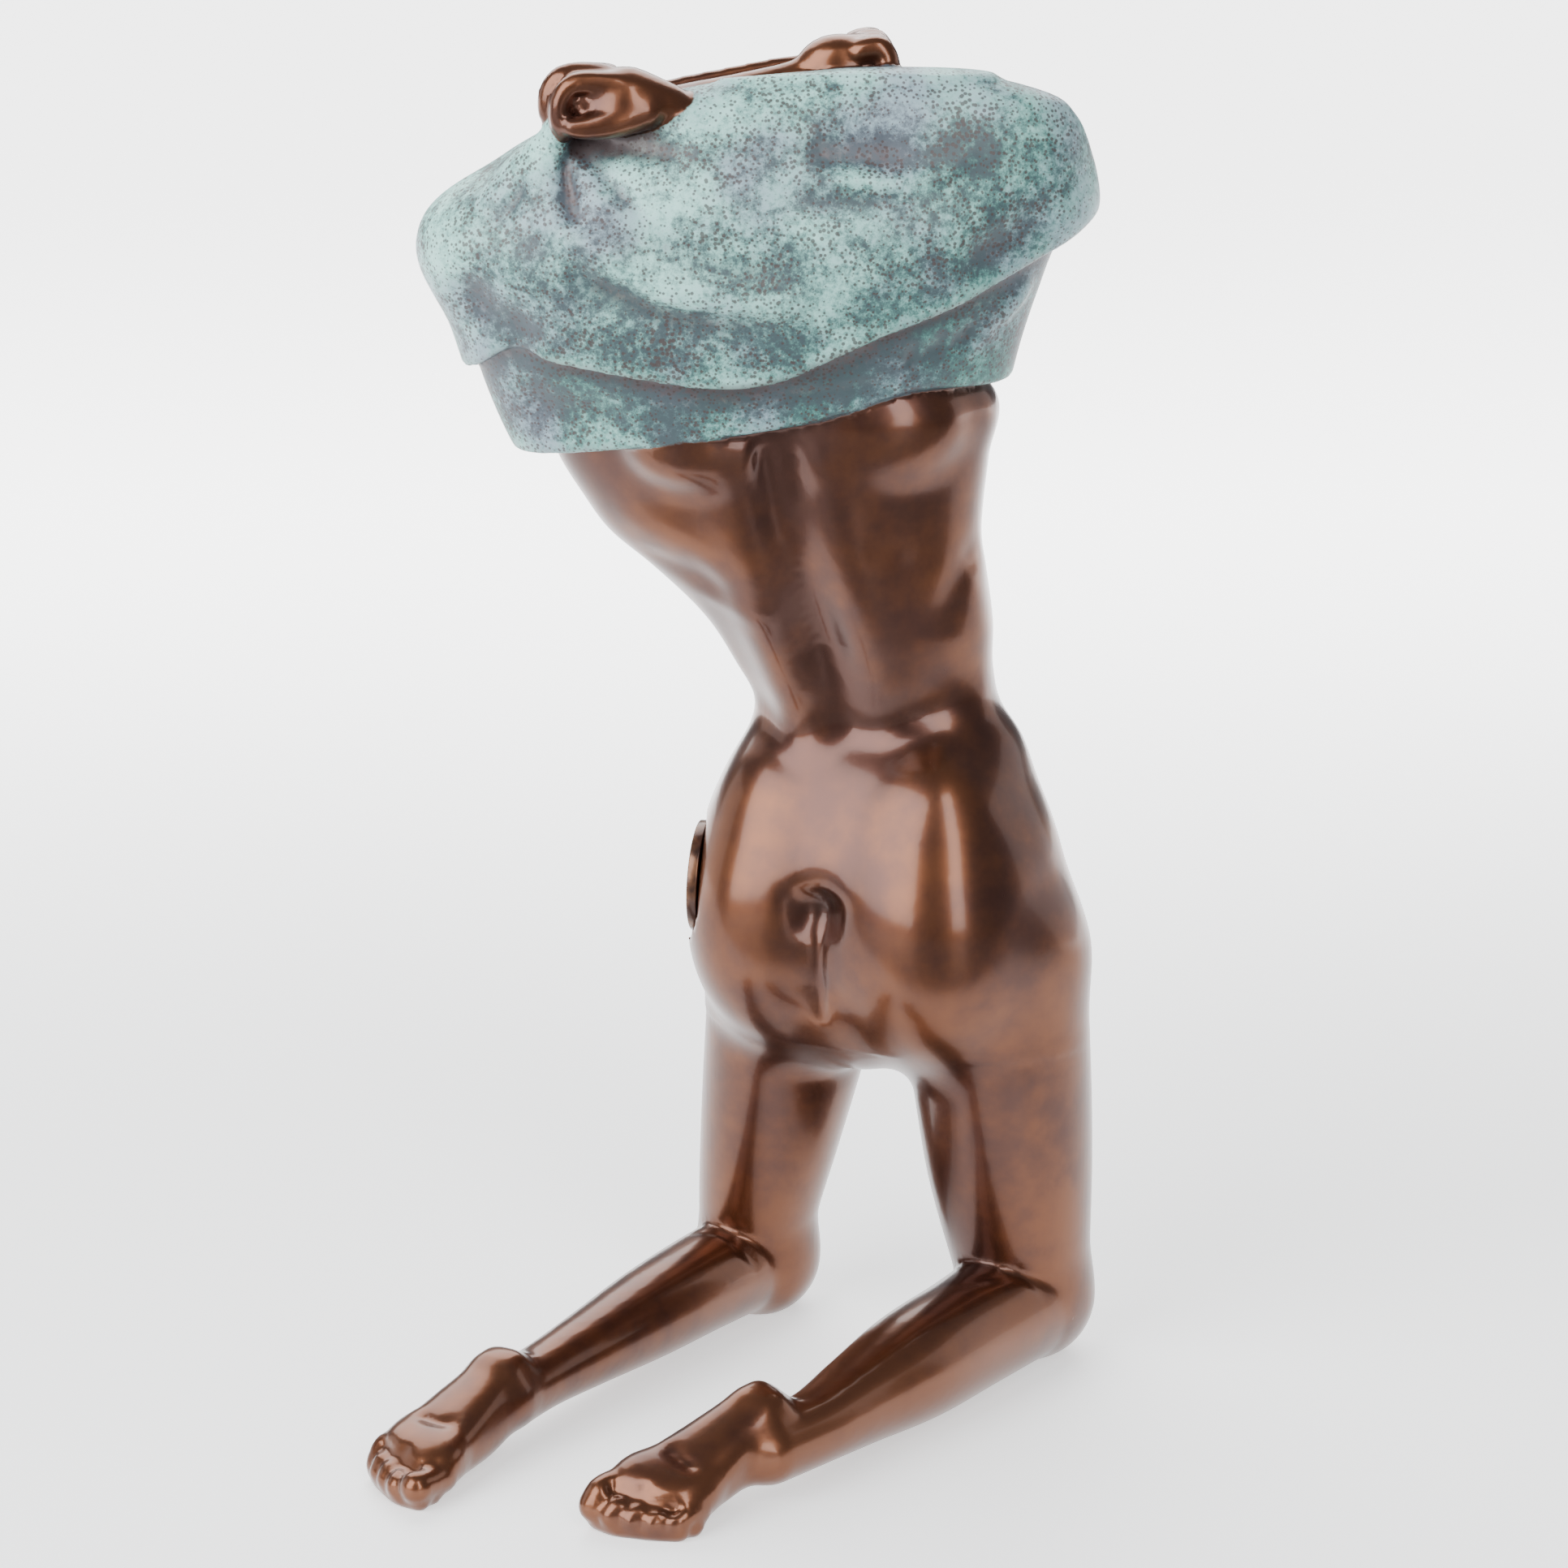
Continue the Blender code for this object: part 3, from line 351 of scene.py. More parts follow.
def laid(form, origin, axes):
    """An upright form laid into a frame of its own, its height along the last axis."""
    distance, low, high = form
    origin, axes = np.asarray(origin, float), np.asarray(axes, float)
    reach = np.abs(axes.T) @ ((high - low) / 2)
    middle = origin + axes.T @ ((high + low) / 2)

    def turned(x, y, z):
        offset = (x - origin[0], y - origin[1], z - origin[2])
        return distance(*(sum(o * part for o, part in zip(offset, axis)) for axis in axes))

    return turned, middle - reach, middle + reach


def bag(sides, power, inset=0.0):
    """A trunk given by its left, right, back and front at each height."""
    stations = [
        (height, (left + right) / 2, (back + front) / 2,
         (right - left) / 2 - inset, (front - back) / 2 - inset, 0)
        for height, left, right, back, front in sides
    ]
    return trunk(stations, power)


print("an egg of radius 2 reaches from", mass((0, 0, 0), (2, 2, 2))[1], "to its opposite")

# %% [markdown]
# ## Hips, torso and back
#
# Her hips are turned to her left and her chest faces almost straight ahead, so the rings of the
# trunk turn and shift sideways as they rise. The seats, the chest, the shoulder blades and the long
# muscles beside the spine are laid on top, each with a wide fillet, as a sculptor lays on wax.

# %% The torso
HIP_TURN = -25.0
HIPS = np.array([7.7, 22.9, 36.0])
HIP_RIGHT = np.array([np.cos(np.radians(HIP_TURN)), np.sin(np.radians(HIP_TURN)), 0])
HIP_BACK = np.array([HIP_RIGHT[1], -HIP_RIGHT[0], 0])
HIP_AXES = [HIP_RIGHT, HIP_BACK, UP]
TORSO_POWER = 2.2
TORSO = [
    # height, x, y, half width, half depth, turn
    (27.0, 8.0, 22.8, 12.6, 6.2, -25),
    (32.0, 8.0, 22.8, 14.4, 7.0, -25),
    (35.3, 7.7, 22.8, 14.2, 7.2, -25),
    (39.6, 7.5, 22.9, 13.6, 7.1, -25),
    (42.0, 7.4, 23.0, 12.9, 6.8, -24),
    (45.0, 7.5, 23.2, 11.4, 6.3, -22),
    (48.2, 7.5, 23.2, 10.0, 5.9, -20),
    (50.3, 6.8, 23.1, 9.2, 5.8, -18),
    (53.0, 5.8, 22.8, 9.5, 5.9, -15),
    (56.5, 4.7, 22.2, 10.5, 6.4, -13),
    (60.7, 2.4, 21.4, 12.2, 7.0, -10),
    (63.2, 0.8, 21.0, 13.4, 7.3, -8),
    (66.0, -0.1, 20.6, 14.4, 7.5, -6),
    (69.0, -0.8, 20.2, 15.4, 7.5, -5),
    (74.0, -1.2, 19.6, 16.0, 7.2, -4),
    (79.0, -2.4, 19.0, 10.0, 6.4, -3),
]
SEATS = [
    # centre and radii in the frame of the hips: right, back, up
    ((-6.8, 4.6, -2.4), (6.3, 6.6, 8.2)),
    ((5.6, 4.6, -2.4), (7.2, 6.6, 8.2)),
]
BELLY = [
    ((0.0, -2.4, 4.0), (8.0, 6.2, 8.0)),
    ((0.0, -3.6, -7.0), (4.2, 3.4, 4.0)),
]
FLANKS = [
    # fill of the slope from the waist to each seat
    ((-6.4, 3.9, 0.5), (6.4, 7.0, 12.0)),
    ((5.4, 3.9, 0.5), (7.2, 7.0, 12.0)),
]
SACRUM = ((-1.0, 2.6, 0.2), (9.6, 7.7, 13.4))
BETWEEN_SEATS = ((-0.9, 4.2, -3.0), (3.0, 5.6, 7.2))
CHEST_TURN = -7.0
CHEST = np.array([0.6, 20.6, 67.0])
BREASTS = [
    # centre and radii in the frame of the chest: right, front, up
    ((-6.4, 5.0, 0.0), (4.9, 4.1, 4.6)),
    ((6.4, 5.0, 0.0), (4.9, 4.1, 4.6)),
]
SHOULDER_BLADES = [
    # centre, radii, lean, blend
    ((-6.2, 14.5, 70.8), (5.0, 3.0, 3.4), 0.15, 1.6),
    ((6.6, 14.1, 72.0), (5.2, 2.6, 3.6), -0.1, 2.5),
    ((-2.8, 13.9, 70.4), (1.3, 1.7, 1.7), 0.1, 1.0),
    ((1.9, 14.0, 70.4), (1.3, 1.5, 2.2), 0.0, 1.2),
]
BACK_MUSCLES = [
    [(3.4, 15.0, 69.0, 2.0), (5.0, 16.4, 61.0, 2.4), (7.2, 18.5, 54.0, 2.4), (8.8, 19.9, 47.0, 1.4)],
    [(-2.9, 15.4, 68.0, 2.0), (-1.6, 17.0, 61.0, 2.4), (1.0, 19.2, 54.0, 2.4), (2.8, 20.3, 47.0, 1.4)],
]


def on_hips(centre, radii):
    """An egg in the frame of the hips."""
    return mass(from_middle(HIPS, HIP_AXES, centre), radii, HIP_AXES)


def shape_torso(body):
    """The torso, hips and back."""
    body.add(trunk(TORSO, TORSO_POWER), 0)
    body.add(joined([on_hips(*seat) for seat in SEATS], TIGHT), FLESHY)
    for fill in (*FLANKS, SACRUM, BETWEEN_SEATS):
        body.add(on_hips(*fill), FLESHY)
    for fill in BELLY:
        body.add(on_hips(*fill), BROAD)
    turn = np.radians(CHEST_TURN)
    axes = [(np.cos(turn), np.sin(turn), 0), (-np.sin(turn), np.cos(turn), 0), UP]
    for centre, radii in BREASTS:
        body.add(mass(from_middle(CHEST, axes, centre), radii, axes), FLESHY)
    for centre, radii, lean, blend in SHOULDER_BLADES:
        long = unit((lean, 0, 1))
        body.add(mass(centre, radii, [np.cross((0, 1, 0), long), (0, 1, 0), long]), blend)
    for stations in BACK_MUSCLES:
        body.add(tube(stations), FLESHY)


print("rings of the trunk:", len(TORSO), "from", TORSO[0][0], "to", TORSO[-1][0])

# %% [markdown]
# ## Legs and feet
#
# Both legs are one smooth tube from hip to knee and another from knee to ankle. The knees are eggs
# pressed a little into the ground. Each foot has a frame of its own: ahead along the sole, out to
# the little toe, and away from the sole, because both feet lean and lie with their soles up and
# their toes bent on the ground.

# %% Lines of the legs
LEFT_LEG = {
    "thigh": [
        (1.3, 25.6, 32.0, 6.7), (0.3, 27.0, 24.0, 6.2), (-0.9, 28.6, 16.0, 5.4),
        (-1.9, 30.2, 9.0, 4.6), (-2.1, 31.2, 4.4, 4.2),
    ],
    "shin": [
        (-3.2, 29.6, 4.2, 3.9), (-6.5, 24.4, 4.3, 3.7), (-10.2, 18.6, 4.2, 3.4),
        (-14.2, 12.4, 4.0, 2.8), (-17.4, 7.6, 3.8, 2.4), (-19.8, 4.0, 3.6, 2.4),
    ],
    "knee": (-1.8, 31.5, 4.2),
    "heel": (-20.4, 4.0, 4.9),
    "ahead": (-0.54, -0.79, -0.31),
    "out": (-0.82, 0.54, -0.03),
}
RIGHT_LEG = {
    "thigh": [
        (14.8, 19.6, 32.0, 7.2), (15.9, 20.0, 24.0, 6.7), (16.7, 20.7, 16.0, 6.2),
        (17.6, 21.4, 9.0, 5.3), (18.2, 21.8, 4.8, 4.7),
    ],
    "shin": [
        (17.6, 20.4, 4.7, 4.6), (13.6, 14.6, 4.4, 4.3), (9.4, 8.6, 4.2, 4.1), (5.4, 3.0, 3.9, 3.3),
        (2.2, -1.6, 3.7, 2.7), (-1.1, -5.2, 3.6, 2.6),
    ],
    "knee": (18.5, 22.2, 4.6),
    "heel": (-1.9, -4.4, 5.6),
    "ahead": (-0.72, -0.60, -0.35),
    "out": (0.74, -0.60, -0.31),
}
KNEE_RADII = (4.1, 4.1, 4.3)

print("places along each thigh:", len(LEFT_LEG["thigh"]), "and along each shin:", len(LEFT_LEG["shin"]))

# %% [markdown]
# ## Soles and toes
#
# We see both soles from behind. A sole is a trunk that lies down, with eggs for the ball of the foot
# and a hollow for the arch. Toes are five short tubes in a row, each with its own width and reach,
# and a low bed under them stands for the flesh that is pressed against the ground.

# %% Soles and toes
SOLE_POWER = 2.7
SOLE = [
    # ahead of the heel, out, toward the sole, half width, half thickness, turn
    (-2.6, 0.0, -0.3, 0.8, 0.8, 0),
    (-1.9, 0.0, -0.2, 1.7, 1.7, 0),
    (-0.5, 0.0, -0.1, 2.15, 2.2, 0),
    (1.5, 0.0, -0.3, 2.35, 2.2, 0),
    (4.5, 0.1, -0.3, 2.75, 2.15, 0),
    (7.5, 0.1, -0.2, 3.05, 1.95, 0),
    (10.0, -0.1, 0.0, 3.0, 1.65, 0),
    (11.8, -0.6, 0.0, 2.2, 1.1, 0),
]
BALLS = [
    # centre and radii in the foot's frame: ahead, out, toward the sole
    ((9.7, -1.6, 0.2), (2.3, 1.7, 1.6)),
    ((9.1, 0.3, 0.2), (2.4, 2.0, 1.6)),
    ((8.2, 1.9, 0.1), (2.3, 1.5, 1.5)),
]
ARCH = ((4.4, -3.6, 2.4), (2.6, 1.3, 1.0))
INSTEP = [
    # place in the foot's frame and radius
    (0.5, 0.2, -1.2, 2.0), (4.5, 0.0, -1.5, 1.9), (8.0, 0.0, -0.9, 1.7),
]
INSTEP_WIDTH = 1.35
TOES = [
    # out from the middle of the foot, radius, tip ahead of the heel
    (-2.4, 1.2, 14.2),
    (-0.75, 0.92, 13.9),
    (0.62, 0.88, 13.2),
    (1.9, 0.84, 12.4),
    (3.05, 0.8, 11.4),
]
TOE_PRESS = 0.15
TOE_RISE = 0.5
TOE_LENGTH = 1.5
TOE_BED = 0.85
TOE_BACKS = (0.3, 1.6)
SOLE_LINES = [
    # points in the foot's frame, width and depth
    ([(11.6, -3.4, 0.6), (11.9, -1.6, 1.3), (11.2, 0.4, 1.4), (10.3, 2.1, 1.2), (9.4, 3.4, 0.5)], 0.42, 0.6),
    ([(6.6, -1.9, 1.5), (7.2, 0.0, 1.4), (6.8, 1.9, 1.3)], 0.6, 0.35),
    ([(10.2, 0.2, 1.9), (11.2, 0.1, 1.6)], 0.4, 0.35),
]

print(len(TOES), "toes on each foot")

# %% [markdown]
# ## Put the legs together
#
# One function makes either leg from its lines, and one makes either foot in the foot's own frame.
# Left and right differ only in the numbers that they are given.

# %% Legs and feet in clay
def shape_leg(body, leg):
    """One leg down to the ankle."""
    body.add(tube(leg["thigh"]), FLESHY)
    body.add(mass(leg["knee"], KNEE_RADII), FLESHY)
    body.add(tube(leg["shin"]), CLOSE)


def shape_foot(body, leg):
    """One foot with its sole up and its toes on the ground."""
    ahead = unit(leg["ahead"])
    out = unit(leg["out"] - ahead * (leg["out"] @ ahead))
    sole = np.cross(ahead, out)
    sole = sole * np.sign(sole[2])
    axes = [ahead, out, sole]

    def at(*offset):
        return from_middle(leg["heel"], axes, offset)

    body.add(laid(trunk(SOLE, SOLE_POWER), leg["heel"], [out, sole, ahead]), SOFT)
    body.add(tube([(*at(*place), radius) for *place, radius in INSTEP], out, INSTEP_WIDTH), SOFT)
    for centre, radii in BALLS:
        body.add(mass(at(*centre), radii, axes), SOFT)
    body.take(mass(at(*ARCH[0]), ARCH[1], axes), SOFT)
    ends = []
    for across, radius, tip in TOES:
        root = at(tip - TOE_LENGTH - 2 * radius, across, -TOE_RISE / 2)
        joint = at(tip - TOE_LENGTH - radius / 2, across, TOE_RISE)
        end = at(tip - radius, across, 0)
        end[2] = radius + TOE_RISE
        ends.append(end)
        body.add(tube([(*place, radius) for place in (root, joint, end)]), TIGHT / 2)
    for back in TOE_BACKS:
        bed = [(*(end - ahead * back)[:2], TOE_BED - TOE_PRESS, TOE_BED) for end in ends]
        body.add(tube(bed), TIGHT)
    for points, width, depth in SOLE_LINES:
        body.draw([at(*point) for point in points], width, depth)


print("lines drawn into each sole:", len(SOLE_LINES))

# %% [markdown]
# ## Furrows, and the seat of the seal
#
# The furrow of the spine and the cleft are drawn with a soft tool: it takes away most along its line
# and less and less beside it. The seal can't sit on a round hip, so a small flat is laid on first
# and faced off, with a narrow gap behind the disc as in the CAD model.

# %% Furrows and the flat for the seal
CLEFT = [
    # places in the frame of the hips
    (-1.0, 9.6, 2.4), (-1.1, 10.0, 0.6), (-1.2, 10.1, -4.0), (-1.2, 9.2, -8.0),
]
CLEFT_TOOLS = [(2.0, 0.7), (0.4, 1.1)]
DIMPLE = (-1.1, 10.2, 0.6)
DIMPLE_RADII = (0.7, 1.0, 1.0)
SEAT_RADIUS = 3.4
SEAT_DEPTH = 1.6
BODY_LINES = [
    # Spine
    ([(-0.2, 12.6, 73.0), (0.2, 13.6, 66.7), (1.7, 15.2, 60.6), (3.1, 16.9, 55.6),
      (4.9, 17.6, 50.2)], 2.3, 1.0),
    # Beside the shoulder blades
    ([(-1.3, 12.6, 71.5), (-1.2, 12.7, 69.4), (-0.8, 13.1, 66.7), (-0.3, 13.6, 63.5)], 0.8, 0.6),
    ([(0.9, 12.7, 71.5), (0.9, 12.9, 69.0), (1.3, 13.4, 66.0)], 0.7, 0.25),
    # Lower edges of the shoulder blades
    ([(-10.4, 15.2, 66.6), (-6.5, 12.6, 66.6), (-3.4, 12.4, 67.2)], 1.4, 0.15),
    # Muscle and ribs of the left side
    ([(-12.0, 17.5, 65.7), (-9.5, 16.0, 64.7), (-6.1, 15.2, 63.1), (-3.8, 15.3, 60.4)], 1.3, -0.25),
    ([(-10.2, 19.5, 63.0), (-8.4, 18.0, 61.8), (-5.6, 16.6, 60.2), (-3.6, 16.2, 58.0)], 1.2, 0.25),
    ([(-7.4, 19.6, 59.3), (-3.4, 16.3, 58.6), (-0.3, 15.6, 57.4)], 1.1, -0.2),
    # Right side
    ([(5.3, 13.1, 63.0), (7.3, 13.6, 63.2), (9.3, 14.3, 62.5)], 1.0, 0.15),
    ([(14.0, 18.6, 62.8), (12.9, 16.6, 61.7), (11.9, 15.7, 59.4), (11.5, 15.9, 56.5)], 1.4, 0.25),
    # Waist
    ([(-1.5, 21.6, 48.8), (2.0, 17.2, 49.8), (6.6, 16.7, 50.0), (10.7, 16.7, 51.2),
      (14.3, 18.8, 52.2)], 1.8, 0.3),
    # Behind the knees
    ([(-7.2, 25.8, 7.9), (-5.0, 25.6, 8.0), (-3.0, 24.7, 6.9), (-1.8, 25.0, 5.2)], 0.5, 0.25),
    ([(12.2, 12.6, 8.3), (15.1, 14.5, 8.6), (17.6, 15.8, 8.3), (19.6, 16.0, 6.3)], 0.5, 0.25),
]


def shape_creases(body):
    """The cleft, the dimple over it and all lines drawn into the body."""
    for width, depth in CLEFT_TOOLS:
        body.draw([from_middle(HIPS, HIP_AXES, place) for place in CLEFT], width, depth)
    body.take(on_hips(DIMPLE, DIMPLE_RADII), FLESHY)
    for points, width, depth in BODY_LINES:
        body.draw(points, width, depth)


def shape_seat(body):
    """The flat that the foundry seal sits on."""
    facing = unit(SEAL_FACING)
    back = (SEAL_THICKNESS / 2 + SEAL_GAP) / UNIT
    room = SEAL_DIAMETER / 2 / UNIT + CLOSE
    body.add(disc(SEAL_PLACE - facing * (back + SEAT_DEPTH), facing, SEAT_RADIUS, SEAT_DEPTH), SOFT)
    body.take(disc(SEAL_PLACE + facing * (SEAT_DEPTH - back), facing, room, SEAT_DEPTH), 0)


print("lines drawn into the body:", len(BODY_LINES))

# %% [markdown]
# ## Hands and the bare forearm
#
# Both hands hold the cloth over her head. Four fingers are the same tube, set side by side by a
# constant step and sunk into an egg for the palm.

# %% Hands
RIGHT_WRIST = [
    (-2.8, 13.1, 93.5, 0.7), (-6.4, 11.9, 94.0, 1.3), (-8.4, 11.1, 94.8, 1.6),
    (-10.4, 10.8, 95.2, 1.9),
]
RIGHT_PALM = ((-11.2, 11.0, 94.9), (2.8, 2.1, 2.2))
RIGHT_HOLLOW = ((-13.2, 11.5, 94.6), (2.2, 1.8, 1.9))
RIGHT_FINGER = [
    (-11.4, 9.9, 96.2, 0.9), (-13.9, 9.7, 96.3, 0.8), (-15.0, 9.6, 95.4, 0.75),
    (-15.2, 9.7, 94.0, 0.75), (-14.8, 10.0, 93.0, 0.7),
]
RIGHT_FINGERS = [(0.0, 0.0, 0.0), (-0.8, 1.4, 0.4), (-0.6, 2.8, 0.3), (0.0, 4.1, -0.2)]
RIGHT_THUMB = [
    (-9.4, 10.2, 94.5, 1.4), (-11.5, 9.6, 93.8, 1.2), (-13.2, 9.3, 93.4, 0.9), (-14.3, 9.2, 93.4, 0.7),
]
RIGHT_KNOB = ((-13.7, 10.0, 94.8), (0.6, 0.8, 0.6))
LEFT_FOREARM = [
    (-15.0, 18.2, 90.6, 2.4), (-8.0, 16.9, 93.4, 1.8), (-3.0, 16.5, 94.8, 1.45),
    (1.0, 16.4, 95.9, 1.3), (3.4, 16.4, 97.0, 1.4),
]
LEFT_PALM = ((4.2, 16.6, 97.4), (2.9, 1.9, 1.5))
LEFT_FINGER = [(5.4, 15.4, 97.9, 0.9), (6.6, 15.4, 98.0, 0.9), (7.2, 15.4, 96.7, 0.8), (6.2, 15.6, 95.6, 0.7)]
LEFT_FINGERS = [(0.0, 0.0, 0.0), (-0.1, 1.25, 0.1), (-0.2, 2.5, 0.2), (-0.4, 3.7, 0.2)]
FAR_EDGE = [
    (-12.0, 19.0, 92.8, 0.9), (-8.5, 19.2, 94.7, 0.65), (-3.7, 19.3, 95.8, 0.6),
    (0.8, 19.3, 96.6, 0.6), (4.4, 18.6, 96.6, 0.7),
]


def shape_hands(hands):
    """Both hands, the forearm that lies bare on top and the cloth's far edge behind it."""
    hands.add(tube(RIGHT_WRIST), 0)
    hands.add(mass(*RIGHT_PALM), SOFT)
    hands.add(mass(*RIGHT_HOLLOW), CLOSE)
    hands.add(tube(LEFT_FOREARM), 0)
    hands.add(mass(*LEFT_PALM), SOFT)
    for finger, places in ((RIGHT_FINGER, RIGHT_FINGERS), (LEFT_FINGER, LEFT_FINGERS)):
        for place in places:
            hands.add(tube(np.array(finger) + (*place, 0)), TIGHT)
    hands.add(tube(RIGHT_THUMB), TIGHT)
    hands.add(mass(*RIGHT_KNOB), TIGHT)
    hands.add(tube(FAR_EDGE), TIGHT)


print("fingers:", len(RIGHT_FINGERS) + len(LEFT_FINGERS), "and one thumb")

# %% [markdown]
# ## The shirt
#
# The shirt is cast with her and is as solid as the rest, so it is clay too and not cloth. It is a
# wide bag with a bump for the left elbow and a tube for the right arm. It is cut off along its hem,
# and once more along the line where it is turned over itself: below that line a slightly smaller
# bag shows. The big folds are ridges and grooves drawn with the same soft tool as the spine.

# %% The shape of the shirt
SHIRT_POWER = 2.3
SHIRT = [
    # height, left, right, back, front
    (66.0, -18.0, 16.0, 10.6, 27.4),
    (71.0, -20.8, 16.4, 10.2, 28.0),
    (74.5, -22.2, 17.1, 9.3, 28.6),
    (77.5, -23.1, 17.8, 8.4, 28.8),
    (81.1, -24.2, 18.9, 7.5, 28.8),
    (84.6, -24.9, 20.2, 7.2, 28.2),
    (86.6, -24.2, 21.4, 7.4, 27.4),
    (89.6, -20.8, 21.0, 8.2, 25.6),
    (91.8, -17.6, 20.5, 9.2, 23.0),
    (93.6, -14.0, 19.5, 10.0, 20.2),
    (95.0, -9.0, 17.6, 10.8, 17.2),
    (96.0, -4.0, 13.0, 11.6, 15.2),
]
LEFT_ELBOW = ((-20.0, 17.3, 84.2), (4.9, 5.6, 4.0))
RIGHT_SLEEVE = [
    (17.0, 16.5, 88.3, 4.0), (15.0, 14.8, 92.2, 3.5), (7.0, 13.2, 93.7, 3.0), (0.4, 12.4, 93.5, 2.6),
    (-6.5, 11.6, 92.9, 2.0),
]
PINCH = [
    (-15.2, 10.7, 93.3, 0.9), (-15.7, 11.4, 92.0, 1.3), (-16.2, 12.4, 90.0, 2.4),
    (-16.6, 13.4, 87.5, 3.6),
]
HEM_HEIGHT = 72.3
HEM_SLOPE = 0.145
HEM_RISE = 1.2
HEM_RISE_PLACE = 9.0
HEM_RISE_WIDTH = 5.0
TURNED_EDGE = [
    # x, height of the line where the shirt is turned over itself
    (-30.0, 75.0), (-24.0, 75.2), (-21.6, 76.0), (-19.5, 77.5), (-15.3, 77.1), (-9.9, 76.3),
    (-5.5, 75.7), (-2.8, 75.7), (-0.2, 76.2), (3.4, 77.8), (6.9, 79.4), (11.3, 81.0), (17.7, 84.1),
    (20.1, 85.2), (22.0, 86.6), (28.0, 88.0),
]
TURNED_DROP = 1.1
TURNED_LIP = (0.45, -0.3)
FOLDS = [
    # Long fold that falls from the pinch and swings across the back
    ([(-16.2, 10.2, 88.7), (-15.1, 8.9, 86.6), (-12.8, 8.0, 85.1), (-10.7, 7.7, 83.6),
      (-8.1, 7.5, 82.4)], 1.1, -1.0),
    ([(-10.7, 7.7, 83.6), (-8.1, 7.4, 82.4), (-4.6, 7.0, 81.6), (-1.1, 7.0, 81.6),
      (2.4, 7.3, 82.0)], 1.2, -1.1),
    ([(-15.4, 8.8, 83.2), (-12.4, 8.1, 82.2), (-9.7, 7.7, 81.2), (-5.4, 7.5, 79.9),
      (0.0, 7.6, 79.8)], 1.6, 1.1),
    ([(-11.0, 8.2, 88.0), (-8.0, 7.9, 85.8), (-3.5, 7.6, 84.4), (2.0, 7.6, 84.4)], 1.8, 0.8),
    # Pleats that fan out of the pinch
    ([(-14.7, 11.6, 92.0), (-12.7, 10.2, 90.6), (-10.8, 8.9, 88.6), (-8.8, 8.1, 87.4)], 0.6, 0.6),
    ([(-14.6, 11.4, 91.4), (-13.2, 9.7, 89.3), (-12.0, 8.6, 87.4)], 0.8, -0.5),
    ([(-15.3, 11.8, 91.7), (-14.8, 10.4, 90.0), (-14.5, 9.0, 87.6), (-14.3, 8.6, 86.0)], 0.6, 0.6),
    ([(-15.8, 12.0, 91.4), (-15.6, 10.4, 89.4), (-15.8, 9.5, 87.6), (-16.4, 9.4, 85.6)], 0.8, -0.5),
    ([(-16.3, 12.4, 91.6), (-16.9, 11.6, 90.4), (-18.0, 10.9, 88.5), (-19.9, 10.6, 86.1)], 0.8, 0.6),
    ([(-17.2, 13.0, 91.1), (-19.1, 12.3, 89.2), (-21.1, 11.9, 87.2)], 1.0, -0.5),
    # Hollows under the fist and on the right
    ([(-13.6, 11.0, 91.8), (-10.2, 10.2, 91.6), (-5.8, 9.2, 92.1)], 1.0, 0.8),
    ([(1.0, 9.2, 92.1), (4.6, 9.3, 91.8), (9.0, 9.6, 91.9)], 1.5, 0.9),
    ([(2.1, 8.6, 90.5), (4.8, 8.5, 90.0), (7.2, 8.5, 89.6), (10.4, 9.1, 90.1),
      (13.1, 10.3, 91.5)], 0.6, -0.6),
    ([(-0.3, 7.9, 88.7), (3.5, 8.0, 88.4), (8.4, 8.5, 88.7)], 1.0, 0.7),
    ([(11.8, 9.1, 83.8), (15.1, 10.2, 85.4), (18.5, 11.8, 88.5)], 1.6, 0.8),
    ([(-22.6, 11.8, 83.4), (-20.4, 11.5, 80.1), (-16.0, 10.2, 79.0)], 1.6, 0.9),
    # Lower band
    ([(13.0, 12.4, 78.4), (14.9, 13.0, 80.0), (17.4, 14.3, 82.6)], 0.8, -0.6),
    ([(-1.4, 9.8, 74.4), (1.9, 10.1, 74.7), (5.2, 10.4, 75.1), (7.7, 10.9, 75.3)], 0.6, 0.6),
    ([(1.9, 9.7, 75.8), (4.4, 9.7, 76.8), (6.9, 9.8, 78.2)], 0.6, 0.5),
    ([(-18.4, 13.9, 73.5), (-15.0, 12.4, 73.2), (-10.4, 11.1, 73.6)], 1.3, 0.6),
]


def hem_height(x, y):
    """Height of the shirt's edge."""
    return HEM_HEIGHT + HEM_SLOPE * x + HEM_RISE * np.exp(-(((x - HEM_RISE_PLACE) / HEM_RISE_WIDTH) ** 2))


def turned_height(x, y):
    """Height of the line where the shirt is turned over itself."""
    places, heights = zip(*TURNED_EDGE)
    return through(places, heights, x)


def on_shirt(shirt, across, height):
    """The place on the back of the shirt at this width and height."""
    x, y, z = shirt.axes
    column = shirt.field[np.searchsorted(x, across), :, np.searchsorted(z, height)]
    return (across, y[np.argmax(column < 0)], height)


def shape_shirt(shirt):
    """The shirt, pulled inside out over the head and arms."""
    under = Clay(shirt.cell)
    under.add(bag(SHIRT, SHIRT_POWER, TURNED_DROP), 0)
    shirt.add(bag(SHIRT, SHIRT_POWER), 0)
    shirt.add(mass(*LEFT_ELBOW), FLESHY)
    shirt.add(tube(RIGHT_SLEEVE), FLESHY)
    shirt.add(tube(PINCH), SOFT)
    turned = [on_shirt(shirt, *place) for place in TURNED_EDGE[2:-2]]
    shirt.trim(turned_height, CLOSE)
    shirt.field = soft_min(shirt.field, under.field, TIGHT)
    shirt.draw(turned, *TURNED_LIP)
    shirt.trim(hem_height, CLOSE)
    for points, width, depth in FOLDS:
        shirt.draw(points, width, depth)


print("folds:", len(FOLDS))

